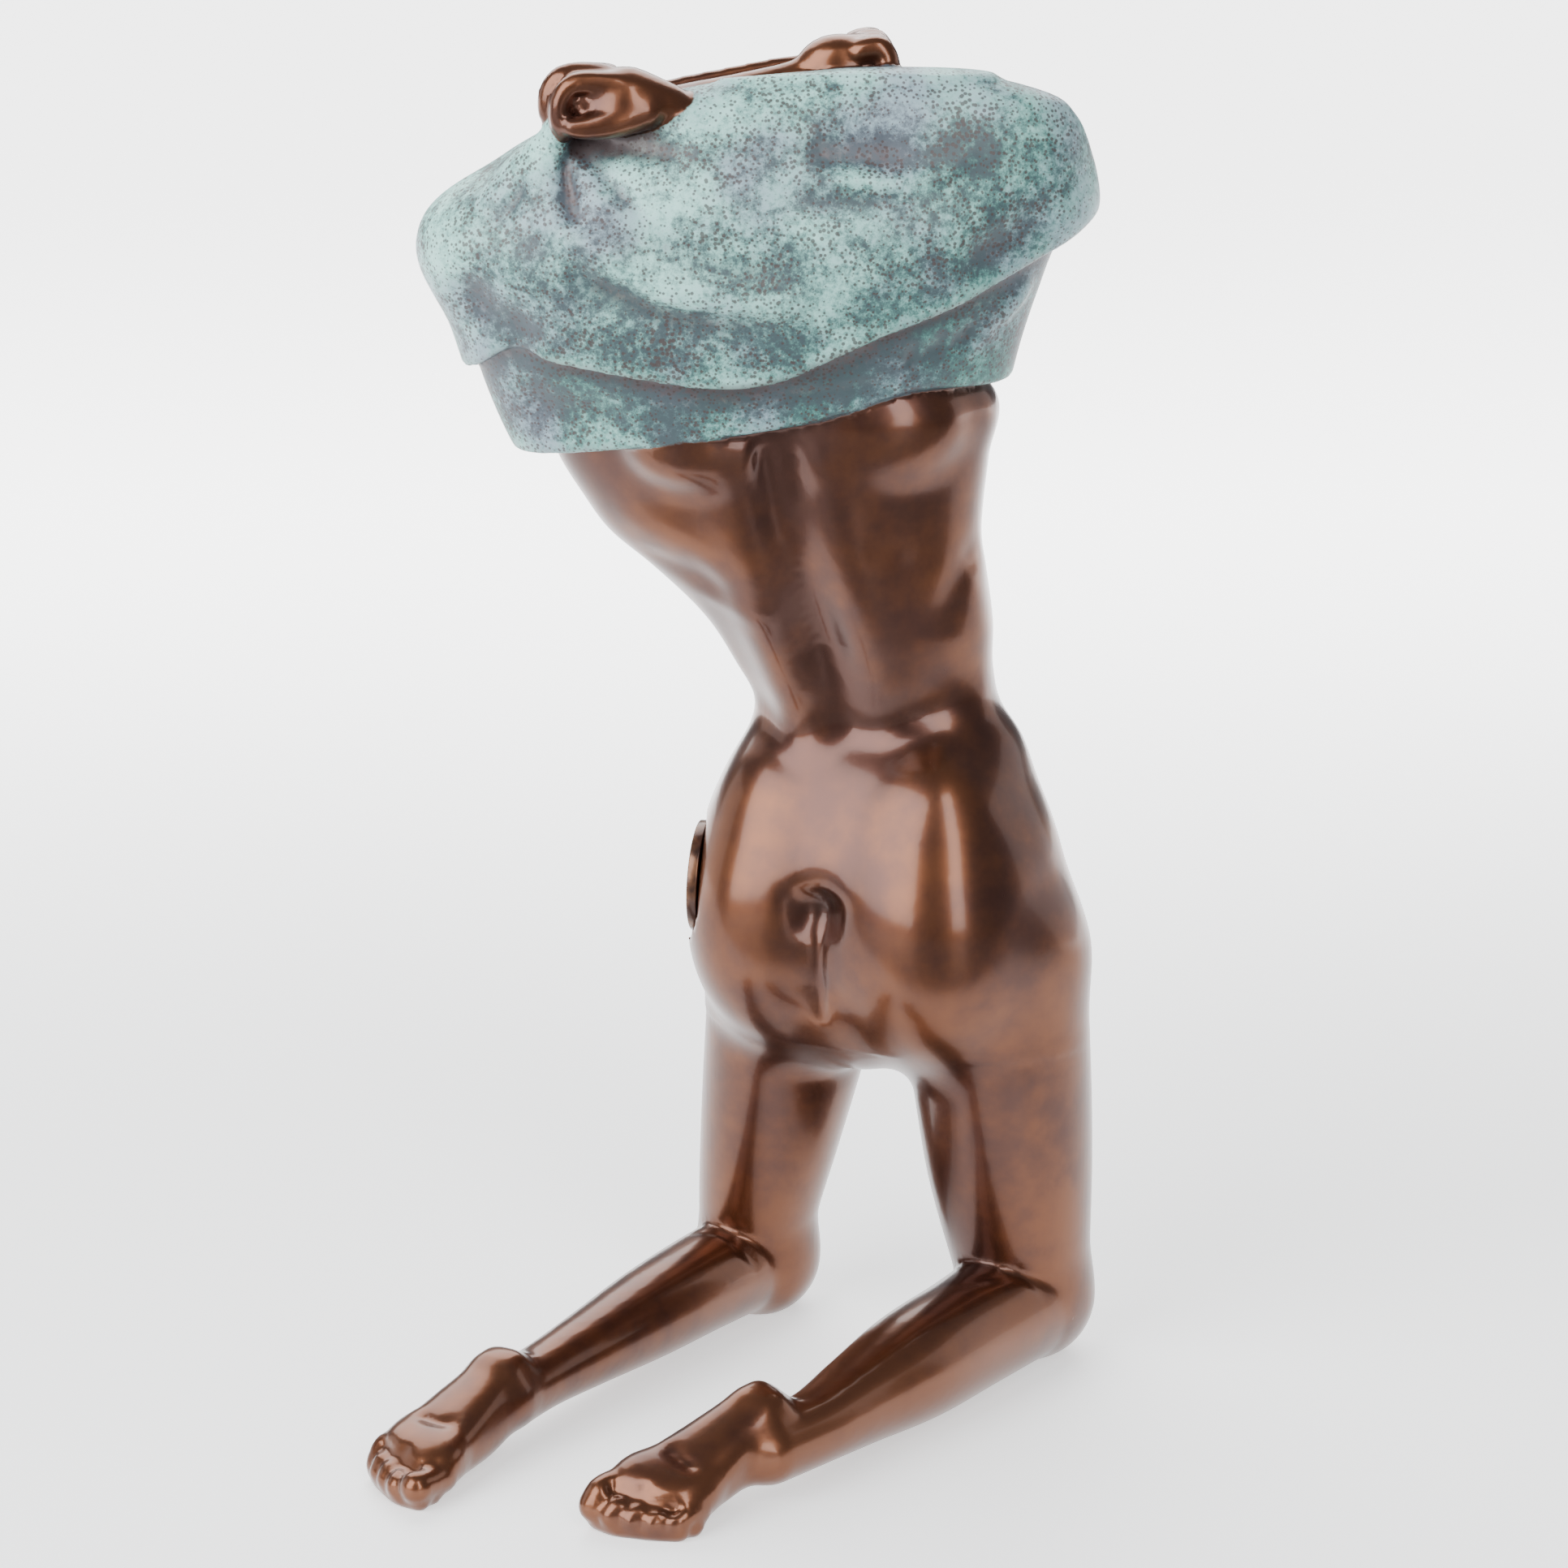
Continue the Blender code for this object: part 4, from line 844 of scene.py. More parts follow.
# %% [markdown]
# ## From clay to a mesh
#
# The surface passes between cells whose distances change sign. Each cell that it crosses gets one
# point, at the middle of its crossings, and neighbouring points are joined by four-sided faces.
# Blender's own way is the Remesh modifier or OpenVDB through geometry nodes. Doing it here costs
# forty lines and keeps the distances at hand, which the finishes need later.

# %% Take the surface off the clay
SUNK = -0.1
GROUND_TOLERANCE = 1e-6


def fill_corners(field, sunk):
    """Fills cells that meet only along an edge, so that the surface never touches itself."""
    found = True
    while found:
        found = False
        for axes in ((0, 1), (0, 2), (1, 2)):
            corners = []
            for shift in ((0, 0), (1, 1), (1, 0), (0, 1)):
                cut = [slice(None)] * 3
                for axis, step in zip(axes, shift):
                    cut[axis] = slice(step, field.shape[axis] - 1 + step)
                corners.append(field[tuple(cut)])
            a, b, c, d = corners
            for one, other, third, fourth in ((a, b, c, d), (c, d, a, b)):
                touching = (one < 0) & (other < 0) & (third >= 0) & (fourth >= 0)
                third[touching] = sunk
                found = found or bool(touching.any())


def surface(clay):
    """Points and four-sided faces where the distance passes through zero."""
    field = clay.field
    fill_corners(field, SUNK * clay.cell)
    inside = field < 0
    shape = np.array(field.shape)
    places, owners, faces = [], [], []
    for axis in range(3):
        before, after = [slice(None)] * 3, [slice(None)] * 3
        before[axis], after[axis] = slice(0, -1), slice(1, None)
        start = np.argwhere(inside[tuple(before)] != inside[tuple(after)])
        others = [other for other in range(3) if other != axis]
        keep = np.all((start[:, others] > 0) & (start[:, others] < shape[others] - 1), axis=1)
        start = start[keep]
        end = start.copy()
        end[:, axis] += 1
        near, far = field[tuple(start.T)], field[tuple(end.T)]
        place = start.astype(float)
        place[:, axis] += near / (near - far)
        corners = []
        for down, back in ((0, 0), (1, 0), (1, 1), (0, 1)):
            owner = start.copy()
            owner[:, others[0]] -= down
            owner[:, others[1]] -= back
            corners.append(np.ravel_multi_index(owner.T, shape - 1))
            places.append(place)
            owners.append(corners[-1])
        face = np.stack(corners, 1)
        inward = (near > 0) ^ (axis == 1)
        face[inward] = face[inward][:, ::-1]
        faces.append(face)
    owners, places = np.concatenate(owners), np.concatenate(places)
    used, index = np.unique(owners, return_inverse=True)
    index = index.reshape(-1)
    count = np.bincount(index)
    points = np.stack([np.bincount(index, column) / count for column in places.T], 1)
    return points * clay.cell + clay.low, np.searchsorted(used, np.concatenate(faces))


ball = Clay(COARSE_CELL)
ball.add(mass((0, 10, 50), (3, 3, 3)))
print("a test ball of radius 3 has", len(surface(ball)[0]), "points")

# %% [markdown]
# ## Rows of strokes
#
# Something was scratched into the lower band of the wax at the right before it was cast. We give
# it a row of shallow slanting strokes that spell nothing. A loop places them, and the shirt itself
# is asked how far back its surface lies.

# %% Strokes on the lower band
STROKES = 11
STROKE_START = np.array([8.4, 76.3])
STROKE_STEP = np.array([0.66, 0.24])
STROKE_HEIGHTS = (2.3, 1.5, 1.9)
STROKE_LEANS = (0.5, -0.4, 0.25)
STROKE_WIDTH = 0.36
STROKE_DEPTH = 0.32


def scratch_strokes(shirt):
    """Scratches the row of strokes."""
    for i in range(STROKES):
        foot = STROKE_START + STROKE_STEP * i
        kind = i % len(STROKE_LEANS)
        run = np.array([STROKE_LEANS[kind], STROKE_HEIGHTS[kind]])
        line = [on_shirt(shirt, *(foot + run * share)) for share in (0, 0.5, 1)]
        shirt.draw(line, STROKE_WIDTH, STROKE_DEPTH)


print(STROKES, "strokes")

# %% [markdown]
# ## Model the figure
#
# Now the whole figure is built in three lumps: body, hands and shirt. Keeping them apart lets us ask
# later, for any place, which of them is nearest, and that is where the two finishes meet.

# %% The whole figure in clay
body, hands, shirt = Clay(FINE_CELL), Clay(FINE_CELL), Clay(FINE_CELL)
shape_torso(body)
for leg in (LEFT_LEG, RIGHT_LEG):
    shape_leg(body, leg)
    shape_foot(body, leg)
shape_creases(body)
shape_seat(body)
shape_hands(hands)
shape_shirt(shirt)
scratch_strokes(shirt)
bronze = np.minimum(body.field, hands.field)
figure_clay = Clay(FINE_CELL)
figure_clay.field = soft_min(bronze, shirt.field, TIGHT)
print("cells:", figure_clay.field.size, "of which inside:", int((figure_clay.field < 0).sum()))

# %% [markdown]
# ## Smooth, thin out and cut
#
# The raw surface has tiny steps from the cells. A Smooth modifier melts them, and Decimate brings
# the mesh under 200,000 triangles where the form is plain, and leaves more where it curves. The
# knees and toes are cut flat on the ground, as the foundry grinds them, so that she stands firm.

# %% The figure as an object
FIGURE_TRIANGLES = 190000
SKIN_SOFTENING = 0.5
SKIN_SOFTENING_ROUNDS = 3


def cut_flat(mesh):
    """Cuts the figure off on the ground and closes it with flat faces."""
    form = bmesh.new()
    form.from_mesh(mesh)
    everything = form.verts[:] + form.edges[:] + form.faces[:]
    bmesh.ops.bisect_plane(
        form, geom=everything, dist=GROUND_TOLERANCE, plane_co=(0, 0, 0), plane_no=(0, 0, 1),
        clear_inner=True,
    )
    rim = [edge for edge in form.edges if edge.is_boundary]
    bmesh.ops.holes_fill(form, edges=rim)
    bmesh.ops.triangulate(form, faces=form.faces[:])
    bmesh.ops.recalc_face_normals(form, faces=form.faces[:])
    form.to_mesh(mesh)
    form.free()


def keep_largest(mesh):
    """Drops every loose bit and every closed hollow but the outer surface."""
    form = bmesh.new()
    form.from_mesh(mesh)
    left = set(form.faces)
    islands = []
    while left:
        front = [left.pop()]
        island = list(front)
        while front:
            near = {other for face in front for edge in face.edges for other in edge.link_faces}
            front = list(near & left)
            left.difference_update(front)
            island.extend(front)
        islands.append(island)
    islands.sort(key=len)
    spare = [face for island in islands[:-1] for face in island]
    bmesh.ops.delete(form, geom=spare, context="FACES")
    form.to_mesh(mesh)
    form.free()


def apply(piece, kind, **settings):
    """Adds a modifier with its settings and applies it."""
    bpy.ops.object.select_all(action="DESELECT")
    bpy.context.view_layer.objects.active = piece
    piece.select_set(True)
    modifier = piece.modifiers.new(kind.title(), kind)
    for name, value in settings.items():
        setattr(modifier, name, value)
    bpy.ops.object.modifier_apply(modifier=modifier.name)


points, faces = surface(figure_clay)
mesh = bpy.data.meshes.new("figure_skin")
mesh.from_pydata((points * UNIT).tolist(), [], faces.tolist())
figure = bpy.data.objects.new("figure_skin", mesh)
bpy.context.scene.collection.objects.link(figure)
apply(figure, "SMOOTH", factor=SKIN_SOFTENING, iterations=SKIN_SOFTENING_ROUNDS)
apply(figure, "DECIMATE", ratio=FIGURE_TRIANGLES / (2 * len(figure.data.polygons)))
cut_flat(figure.data)
keep_largest(figure.data)
figure.data.polygons.foreach_set("use_smooth", [True] * len(figure.data.polygons))
print("figure:", len(figure.data.polygons), "triangles")

# %% [markdown]
# ## Put it where the CAD says
#
# Both models come from the same description, so the fine one only has to be moved by the shift that
# we measured. The CAD solid is coarser and a hair smaller, so each side is drawn in by the last
# fraction of a millimetre. The object itself stays at the origin, with its place in its mesh.

# %% Fit the figure into the CAD box
def coordinates(piece):
    """The places of a piece's points."""
    flat = np.empty(3 * len(piece.data.vertices))
    piece.data.vertices.foreach_get("co", flat)
    return flat.reshape(-1, 3)


clay_places = coordinates(figure) / UNIT
places = coordinates(figure) + shift * (1, 1, 0)
box_low, box_high = (np.array(corner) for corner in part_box("kneeling_figure"))
low, high = places.min(0), places.max(0)
places = box_low + (places - low) * (box_high - box_low) / (high - low)
figure.data.vertices.foreach_set("co", places.ravel())
figure.data.update()
print("drawn in by, mm:", (((high - low) - (box_high - box_low)) * 1000).round(2))

# %% [markdown]
# ## Where the finishes meet
#
# A finish needs to know three things about each point. One is which lump it belongs to: cloth is
# the distance to the bronze body less the distance to the shirt, so it is above zero on the shirt
# and changes sign exactly where the hem touches the skin. Another is how hollow the place is: the
# share of clay in a cube around it is above a half in a fold and below a half on a ridge. It is
# measured in a small cube and in a broad one. The last, lap, is how far it lies above the line
# where the shirt is turned over. All go into the mesh as attributes. Vertex paint would do the same
# by hand.

# %% Attributes for the finishes
HOLLOW_REACH = 1.5
BROAD_REACH = 4.5
LAP_REACH = 6.0
CLOTH_REACH = 3.0
LAST_CELL = 1.001


def sample(field, at):
    """The value of a field at places between its cells."""
    spots = (at - figure_clay.low) / figure_clay.cell
    spots = np.clip(spots, 0, np.array(field.shape) - LAST_CELL)
    base = spots.astype(int)
    part = spots - base
    total = 0
    for corner in np.ndindex(2, 2, 2):
        weight = np.prod(np.where(corner, part, 1 - part), axis=1)
        total = total + weight * field[tuple((base + corner).T)]
    return total


def fullness(field, reach):
    """The share of clay in a cube around each cell."""
    share = np.clip(0.5 - field / figure_clay.cell, 0, 1).astype(np.float32)
    half = int(round(reach / figure_clay.cell))
    for axis in range(3):
        ends = [(0, 0)] * 3
        ends[axis] = (half + 1, half)
        running = np.cumsum(np.pad(share, ends), axis=axis, dtype=np.float32)
        upper, lower = [slice(None)] * 3, [slice(None)] * 3
        upper[axis], lower[axis] = slice(2 * half + 1, None), slice(0, -2 * half - 1)
        share = (running[tuple(upper)] - running[tuple(lower)]) / (2 * half + 1)
    return share


def write_attribute(name, values):
    """Keeps one number per point in the figure's mesh."""
    attribute = figure.data.attributes.new(name, "FLOAT", "POINT")
    attribute.data.foreach_set("value", values.astype(np.float32))
    print(name, "from", values.min().round(2), "to", values.max().round(2))


write_attribute("cloth", np.clip(sample(bronze - shirt.field, clay_places), -CLOTH_REACH, CLOTH_REACH))
write_attribute("hollow", sample(fullness(figure_clay.field, HOLLOW_REACH), clay_places))
write_attribute("broad", sample(fullness(figure_clay.field, BROAD_REACH), clay_places))
across, deep, high = clay_places.T
write_attribute("lap", np.clip(high - turned_height(across, deep), -LAP_REACH, LAP_REACH))

# %% [markdown]
# ## Shader maths as plain expressions
#
# A procedural finish is a sum of noises and masks. Drawn by hand, that is dozens of Math nodes with
# wires between them. The small class below wraps one socket, so that an expression such as
# `1 - mask * 0.5` adds the nodes itself. Colours are mixed with a Mix node, because a Math node
# would turn them grey.

# %% A socket that takes part in arithmetic
class Shade:
    """One output of a shader node. Arithmetic on it adds Math nodes to its tree."""

    def __init__(self, tree, socket=None):
        self.tree = tree
        self.socket = socket

    def node(self, kind, settings=None, inputs=None, output=0):
        """Adds a node, sets it up, and feeds its sockets with numbers, colours or links."""
        made = self.tree.nodes.new("ShaderNode" + kind)
        for name, setting in (settings or {}).items():
            setattr(made, name, setting)
        for name, value in (inputs or {}).items():
            if isinstance(value, Shade):
                self.tree.links.new(value.socket, made.inputs[name])
            else:
                made.inputs[name].default_value = value
        return Shade(self.tree, made.outputs[output])

    def math(self, operation, *values):
        """One Math node over sockets or numbers."""
        return self.node("Math", {"operation": operation}, dict(enumerate(values)))

    def __add__(self, other):
        return self.math("ADD", self, other)

    def __sub__(self, other):
        return self.math("SUBTRACT", self, other)

    def __rsub__(self, other):
        return self.math("SUBTRACT", other, self)

    def __mul__(self, other):
        return self.math("MULTIPLY", self, other)

    __radd__ = __add__

    def step(self, low, high):
        """Rises smoothly from 0 at low to 1 at high."""
        edges = {"Value": self, "From Min": low, "From Max": high}
        return self.node("MapRange", {"interpolation_type": "SMOOTHSTEP"}, edges)

    def colours(self, below, above):
        """A colour between two, at this share of the way."""
        ends = {0: self, 6: below, 7: above}
        return self.node("Mix", {"data_type": "RGBA"}, ends, 2)


def finish(name):
    """A new material. Returns it, its node tree and its Principled shader."""
    made = bpy.data.materials.new(name)
    made.use_nodes = True
    return made, made.node_tree, made.node_tree.nodes["Principled BSDF"]


def feed(tree, shader, sockets):
    """Links or sets the sockets of a shader."""
    for name, value in sockets.items():
        if isinstance(value, Shade):
            tree.links.new(value.socket, shader.inputs[name])
        else:
            shader.inputs[name].default_value = value


print("besides sums, a socket can:", [name for name in vars(Shade) if name[0] != "_"])

# %% [markdown]
# ## Brown lacquered bronze
#
# The skin is bronze that was warmed with a torch and brushed with iron salts, then waxed or
# lacquered. It is a dark, warm metal with a clear coat: reddish brown where the colour took well,
# nearly black in the folds, more orange where a cloth has rubbed it. Fine scratches from brushing
# break up the reflections a little. One Principled shader holds all of it.

# %% Brown bronze
def tint(red, green, blue):
    """An opaque colour."""
    return (red, green, blue, 1.0)


def noise(place, scale, detail=3.0, roughness=0.5):
    """Soft noise between 0 and 1. The scale is in waves per metre."""
    sockets = {"Vector": place, "Scale": scale, "Detail": detail, "Roughness": roughness}
    return place.node("TexNoise", {}, sockets)


DEEP_BROWN = tint(0.018, 0.009, 0.007)
RED_BROWN = tint(0.070, 0.028, 0.020)
WARM_BROWN = tint(0.140, 0.050, 0.022)

# Waves per metre
BROWN_CLOUDS = 28.0
BROWN_MOTTLE = 140.0
BROWN_HAIRS = 2600.0
BROWN_GRIT = 420.0

# From no effect to the full one
WORN = (0.55, 1.0)
DARKENED = (1.28, 1.75)
HAIR_TURN = (0.3, 0.5, 0.2)
HAIR_STRETCH = (1.0, 1.0, 0.12)
BROWN_ROUGHNESS = 0.27


def brown_bronze(place, hollow, broad):
    """Colour, roughness and height of the brown bronze."""
    clouds = noise(place, BROWN_CLOUDS)
    mottle = noise(place, BROWN_MOTTLE, 4.0)
    worn = (clouds * 0.9 + mottle * 0.5 + (0.5 - broad) * 0.8).step(*WORN)
    colour = worn.colours(RED_BROWN, WARM_BROWN)
    dark = (hollow * 1.6 + broad * 0.5 + mottle * 0.15).step(*DARKENED)
    colour = dark.colours(colour, DEEP_BROWN)
    hairs = place.node("Mapping", {}, {"Vector": place, "Rotation": HAIR_TURN, "Scale": HAIR_STRETCH})
    scratches = noise(hairs, BROWN_HAIRS, 2.0)
    rough = BROWN_ROUGHNESS + mottle * 0.05 + dark * 0.15 + (scratches - 0.5) * 0.05
    height = scratches * 0.35 + noise(place, BROWN_GRIT, 2.0) * 0.65
    return colour, rough, height


print("brown bronze runs from", DEEP_BROWN[:3], "to", WARM_BROWN[:3])

# %% [markdown]
# ## Blue-green patina
#
# The shirt was treated with copper salts, which grow a matt crust of pale aqua over blue-grey and
# mauve undertones. It is thickest in the open and rubbed through to brown along creases and edges,
# and pores in the crust show as fine dark specks. Light and shade are painted into its colour too:
# painted light on an area beside the pinch, a painted shadow under it where the long fold falls, and
# painted shade on the right side and on the lower band below the turned line. It reflects hardly
# anything, so it isn't metallic where it covers, but a wax over it leaves a soft sheen.

# %% Patina
PALE_AQUA = tint(0.400, 0.740, 0.680)
GREEN_AQUA = tint(0.045, 0.190, 0.165)
LILAC_GREY = tint(0.260, 0.330, 0.410)
SLATE = tint(0.038, 0.042, 0.058)
MAUVE_BROWN = tint(0.085, 0.055, 0.055)
SPECK_BROWN = tint(0.050, 0.030, 0.028)

# Middle of the painted light area and of the painted shadow area in clay units, and their radii in metres
PAINTED_LIGHT_HEART = np.array([-6.0, 8.0, 88.0])
PAINTED_SHADOW_HEART = np.array([-13.0, 8.0, 81.5])
PAINTED_LIGHT_RADIUS = 0.050
PAINTED_SHADOW_RADIUS = 0.034

# Waves per metre, and how far the drift pushes the clouds about, in metres
DRIFT = 55.0
DRIFT_PUSH = 0.02
CRUST_CLOUDS = 24.0
CRUST_BLOTS = 80.0
CRUST_GRAIN = 500.0
LILAC_CLOUDS = 42.0
PORES = 950.0
PORE_ROOM = 90.0

# Fullness of a surface that is neither a fold nor a ridge, in the small cube and in the broad one
FLAT_HOLLOW = 0.47
FLAT_BROAD = 0.42

# From no effect to the full one: of tone and slopes, then of heights over the turned line, in units
AQUA_RANGE = (0.28, 0.74)
LILAC_RANGE = (0.42, 0.74)
SLATE_RANGE = (0.60, 0.30)
CREASE_RANGE = (0.08, 0.20)
EDGE_RANGE = (0.10, 0.24)
SPECK_RANGE = (0.80, 0.62)
SEAM_BLOTS = (0.40, 0.60)
# The next two place the painted shade on the band below the turned line and on the cloth just above it
SHADE_BELOW_TURN = (0.2, -0.4)
SHADE_OVER_TURN = (6.0, 1.0)
SEAM_FOOT = (-0.9, -0.3)
SEAM_HEAD = (0.5, 0.0)

# Where the painted shade of the right side begins and ends, in metres
PAINTED_SHADE_RIGHT = (-0.03, 0.08)


def reach(place, heart, size):
    """1 at a place on the figure and 0 beyond a distance from it."""
    centre = tuple(heart * UNIT + shift * (1, 1, 0))
    return place.node("VectorMath", {"operation": "DISTANCE"}, {0: place, 1: centre}, 1).step(size, 0.0)


def noise_colour(place, scale):
    """Three noises at once, as a colour."""
    return place.node("TexNoise", {}, {"Vector": place, "Scale": scale, "Detail": 2.0}, 1)


def patina(place, hollow, broad, lap):
    """Colour with painted light and shade, roughness, height and bareness of the blue-green patina."""
    bend = {0: noise_colour(place, DRIFT), 1: (DRIFT_PUSH,) * 3, 2: place}
    drift = place.node("VectorMath", {"operation": "MULTIPLY_ADD"}, bend)
    clouds = noise(drift, CRUST_CLOUDS, 3.0, 0.55)
    blots = noise(drift, CRUST_BLOTS, 4.0, 0.60)
    grain = noise(place, CRUST_GRAIN, 5.0, 0.80)
    depth = (hollow - FLAT_HOLLOW) * 0.75 + (broad - FLAT_BROAD) * 0.35
    # Painted light on an area beside the pinch, and a painted shadow under it where the long fold falls
    pale = reach(place, PAINTED_LIGHT_HEART, PAINTED_LIGHT_RADIUS)
    dark = reach(place, PAINTED_SHADOW_HEART, PAINTED_SHADOW_RADIUS)
    tone = clouds * 0.45 + blots * 0.55 + (grain - 0.5) * 0.75 - depth + pale * 0.12 - dark * 0.10
    # Painted shade on the lower band below the turned line and on the cloth just above it
    below = lap.step(*SHADE_BELOW_TURN)
    # Painted shade on the right side, away from the light
    right = place.node("SeparateXYZ", {}, {"Vector": place}, 0).step(*PAINTED_SHADE_RIGHT)
    low = lap.step(*SHADE_OVER_TURN)
    tone = tone - below * 0.05 - right * 0.06 - low * 0.09
    colour = tone.step(*AQUA_RANGE).colours(GREEN_AQUA, PALE_AQUA)
    lilac = (noise(place, LILAC_CLOUDS, 3.0) + (grain - 0.5) * 0.5).step(*LILAC_RANGE)
    colour = (lilac * 0.8).colours(colour, LILAC_GREY)
    # The murk also takes some of the painted shade near the turned line
    murk = blots * 0.7 + clouds * 0.3 + (grain - 0.5) * 0.9 - depth * 1.4 - low * 0.04
    # Less slate under the painted light and more under the painted shadow
    slate = (murk + pale * 0.10 - dark * 0.12).step(*SLATE_RANGE)
    colour = (slate * 0.85).colours(colour, SLATE)
    seam = lap.step(*SEAM_FOOT) * lap.step(*SEAM_HEAD)
    crease = (depth + (grain - 0.5) * 0.4).step(*CREASE_RANGE)
    edge = (FLAT_HOLLOW - hollow + (grain - 0.5) * 0.4).step(*EDGE_RANGE)
    bare = crease.math("MAXIMUM", crease * 0.8, edge * 0.6)
    bare = bare.math("MAXIMUM", bare, seam * 0.55 * blots.step(*SEAM_BLOTS))
    colour = bare.colours(colour, MAUVE_BROWN)
    cells = place.node("TexVoronoi", {}, {"Vector": place, "Scale": PORES}, 0)
    room = noise(place, PORE_ROOM, 3.0)
    specks = (cells + room * 0.80).step(*SPECK_RANGE)
    colour = (specks * 0.8).colours(colour, SPECK_BROWN)
    rough = 0.52 + (grain - 0.5) * 0.2 - bare * 0.12
    height = grain * 0.5 + (1 - specks) * 0.5
    return colour, rough, height, bare


print("patina of", len((PALE_AQUA, GREEN_AQUA, LILAC_GREY, SLATE, MAUVE_BROWN, SPECK_BROWN)), "colours")

# %% [markdown]
# ## Both finishes on one casting
#
# The statue is one piece of bronze, so it gets one material. The cloth attribute chooses between the
# two finishes. A little noise on it makes the boundary wander by a fraction of a millimetre, as a
# brushed edge does.

# %% The figure's material
BORDER_NOISE = 600.0
BORDER_RANGE = (-0.08, 0.10)
BUMP_STRENGTH = 0.25
BUMP_HEIGHT = 0.0002
COAT_ROUGHNESS = 0.12

skin_finish, tree, shader = finish("cast_bronze")
place = Shade(tree).node("TexCoord", {}, {}, 3)
cloth, hollow, broad, lap = (
    Shade(tree).node("Attribute", {"attribute_name": name}, {}, 2)
    for name in ("cloth", "hollow", "broad", "lap")
)
brown, brown_rough, brown_height = brown_bronze(place, hollow, broad)
aqua, aqua_rough, aqua_height, bare = patina(place, hollow, broad, lap)
border = cloth + (noise(place, BORDER_NOISE, 3.0) - 0.5) * 0.3
covered = border.step(*BORDER_RANGE)
bump_height = (1 - covered) * brown_height * 0.15 + covered * aqua_height
relief = {"Height": bump_height, "Strength": BUMP_STRENGTH, "Distance": BUMP_HEIGHT}
bump = place.node("Bump", {}, relief)
feed(tree, shader, {
    "Base Color": covered.colours(brown, aqua),
    "Metallic": 0.85 - covered * (0.80 - bare * 0.25),
    "Roughness": brown_rough + covered * (aqua_rough - brown_rough),
    "Coat Weight": 0.35 - covered * 0.27,
    "Coat Roughness": COAT_ROUGHNESS,
    "Normal": bump,
})
figure.data.materials.append(skin_finish)
print("the figure's material has", len(tree.nodes), "nodes")

# %% [markdown]
# ## The blank seal
#
# A round seal of the foundry is pinned to her left hip and seen from its edge. On the real one there
# would be a stamp. Ours is blank. It is a shallow dish: a cylinder whose outer face is inset and
# pushed in, with its edges rounded by a Bevel modifier, so that it catches the light as struck
# metal does.

# %% The seal
SEAL_RIM = 0.0018
SEAL_SINK = 0.0004
SEAL_ROUNDING = 0.0003
SEAL_ROUNDING_STEPS = 3
SEAL_SIDES = 96
FACING_OUT = 0.9
SHARP_DEGREES = 30

bpy.ops.object.select_all(action="DESELECT")
bpy.ops.mesh.primitive_cylinder_add(vertices=SEAL_SIDES, radius=SEAL_DIAMETER / 2, depth=SEAL_THICKNESS)
seal = bpy.context.object
seal.name = seal.data.name = "seal_disc"
bpy.ops.object.mode_set(mode="EDIT")
bpy.ops.mesh.select_all(action="DESELECT")
form = bmesh.from_edit_mesh(seal.data)
for face in form.faces:
    face.select = face.normal.z > FACING_OUT
bmesh.update_edit_mesh(seal.data)
bpy.ops.mesh.inset(thickness=SEAL_RIM, depth=0)
bpy.ops.mesh.inset(thickness=SEAL_SINK, depth=-SEAL_SINK)
bpy.ops.object.mode_set(mode="OBJECT")
apply(seal, "BEVEL", width=SEAL_ROUNDING, segments=SEAL_ROUNDING_STEPS, limit_method="ANGLE")
seal.rotation_mode = "QUATERNION"
seal.rotation_quaternion = Vector(SEAL_FACING).to_track_quat("Z", "Y")
seal.location = middle_of("foundry_seal")
bpy.ops.object.transform_apply(location=True, rotation=True, scale=True)
bpy.ops.object.shade_smooth_by_angle(angle=np.radians(SHARP_DEGREES))
print("seal:", len(seal.data.polygons), "faces")

# %% [markdown]
# The seal is the same bronze, darker and a little shinier, with patches of dirt.

# %% The seal's material
SEAL_DIRT = tint(0.050, 0.026, 0.020)
SEAL_BROWN = tint(0.16, 0.075, 0.040)
SEAL_STAIN = 260.0
SEAL_GRIT = 900.0

seal_finish, tree, shader = finish("seal_bronze")
place = Shade(tree).node("TexCoord", {}, {}, 3)
stain = noise(place, SEAL_STAIN, 4.0)
relief = {"Height": noise(place, SEAL_GRIT), "Strength": 0.15, "Distance": 0.0001}
feed(tree, shader, {
    "Base Color": stain.step(0.35, 0.7).colours(SEAL_DIRT, SEAL_BROWN),
    "Metallic": 0.9,
    "Roughness": 0.24 + stain * 0.16,
    "Coat Weight": 0.3,
    "Coat Roughness": 0.15,
    "Normal": place.node("Bump", {}, relief),
})
seal.data.materials.append(seal_finish)
print("the seal's material has", len(tree.nodes), "nodes")

# %% [markdown]
# ## The floor
#
# She stands on a pale sheet, so that floor and background melt into one white. It isn't part of the
# object. A glow that grows behind her keeps it white into the distance. Polished bronze mirrors the
# floor before it as well, and a white one there would wash out her back, so the floor turns dark
# just in front of the part that the camera sees.

# %% Floor
FLOOR_SIZE = 12.0
FLOOR_GLOW = 4.5
FLOOR_DARK = tint(0.22, 0.22, 0.22)
FLOOR_PALE = tint(0.86, 0.87, 0.88)
BLACK = tint(0.0, 0.0, 0.0)
WHITE = tint(1.0, 1.0, 1.0)

# Places along Y in metres where the floor turns pale, and where its glow begins and is full
PALE_FROM = (-0.18, -0.10)
GLOW_FROM = (0.10, 1.10)
GLOW_NEAR = 0.19
GLOW_FAR = 0.72
GLOW_LEAST = 0.01

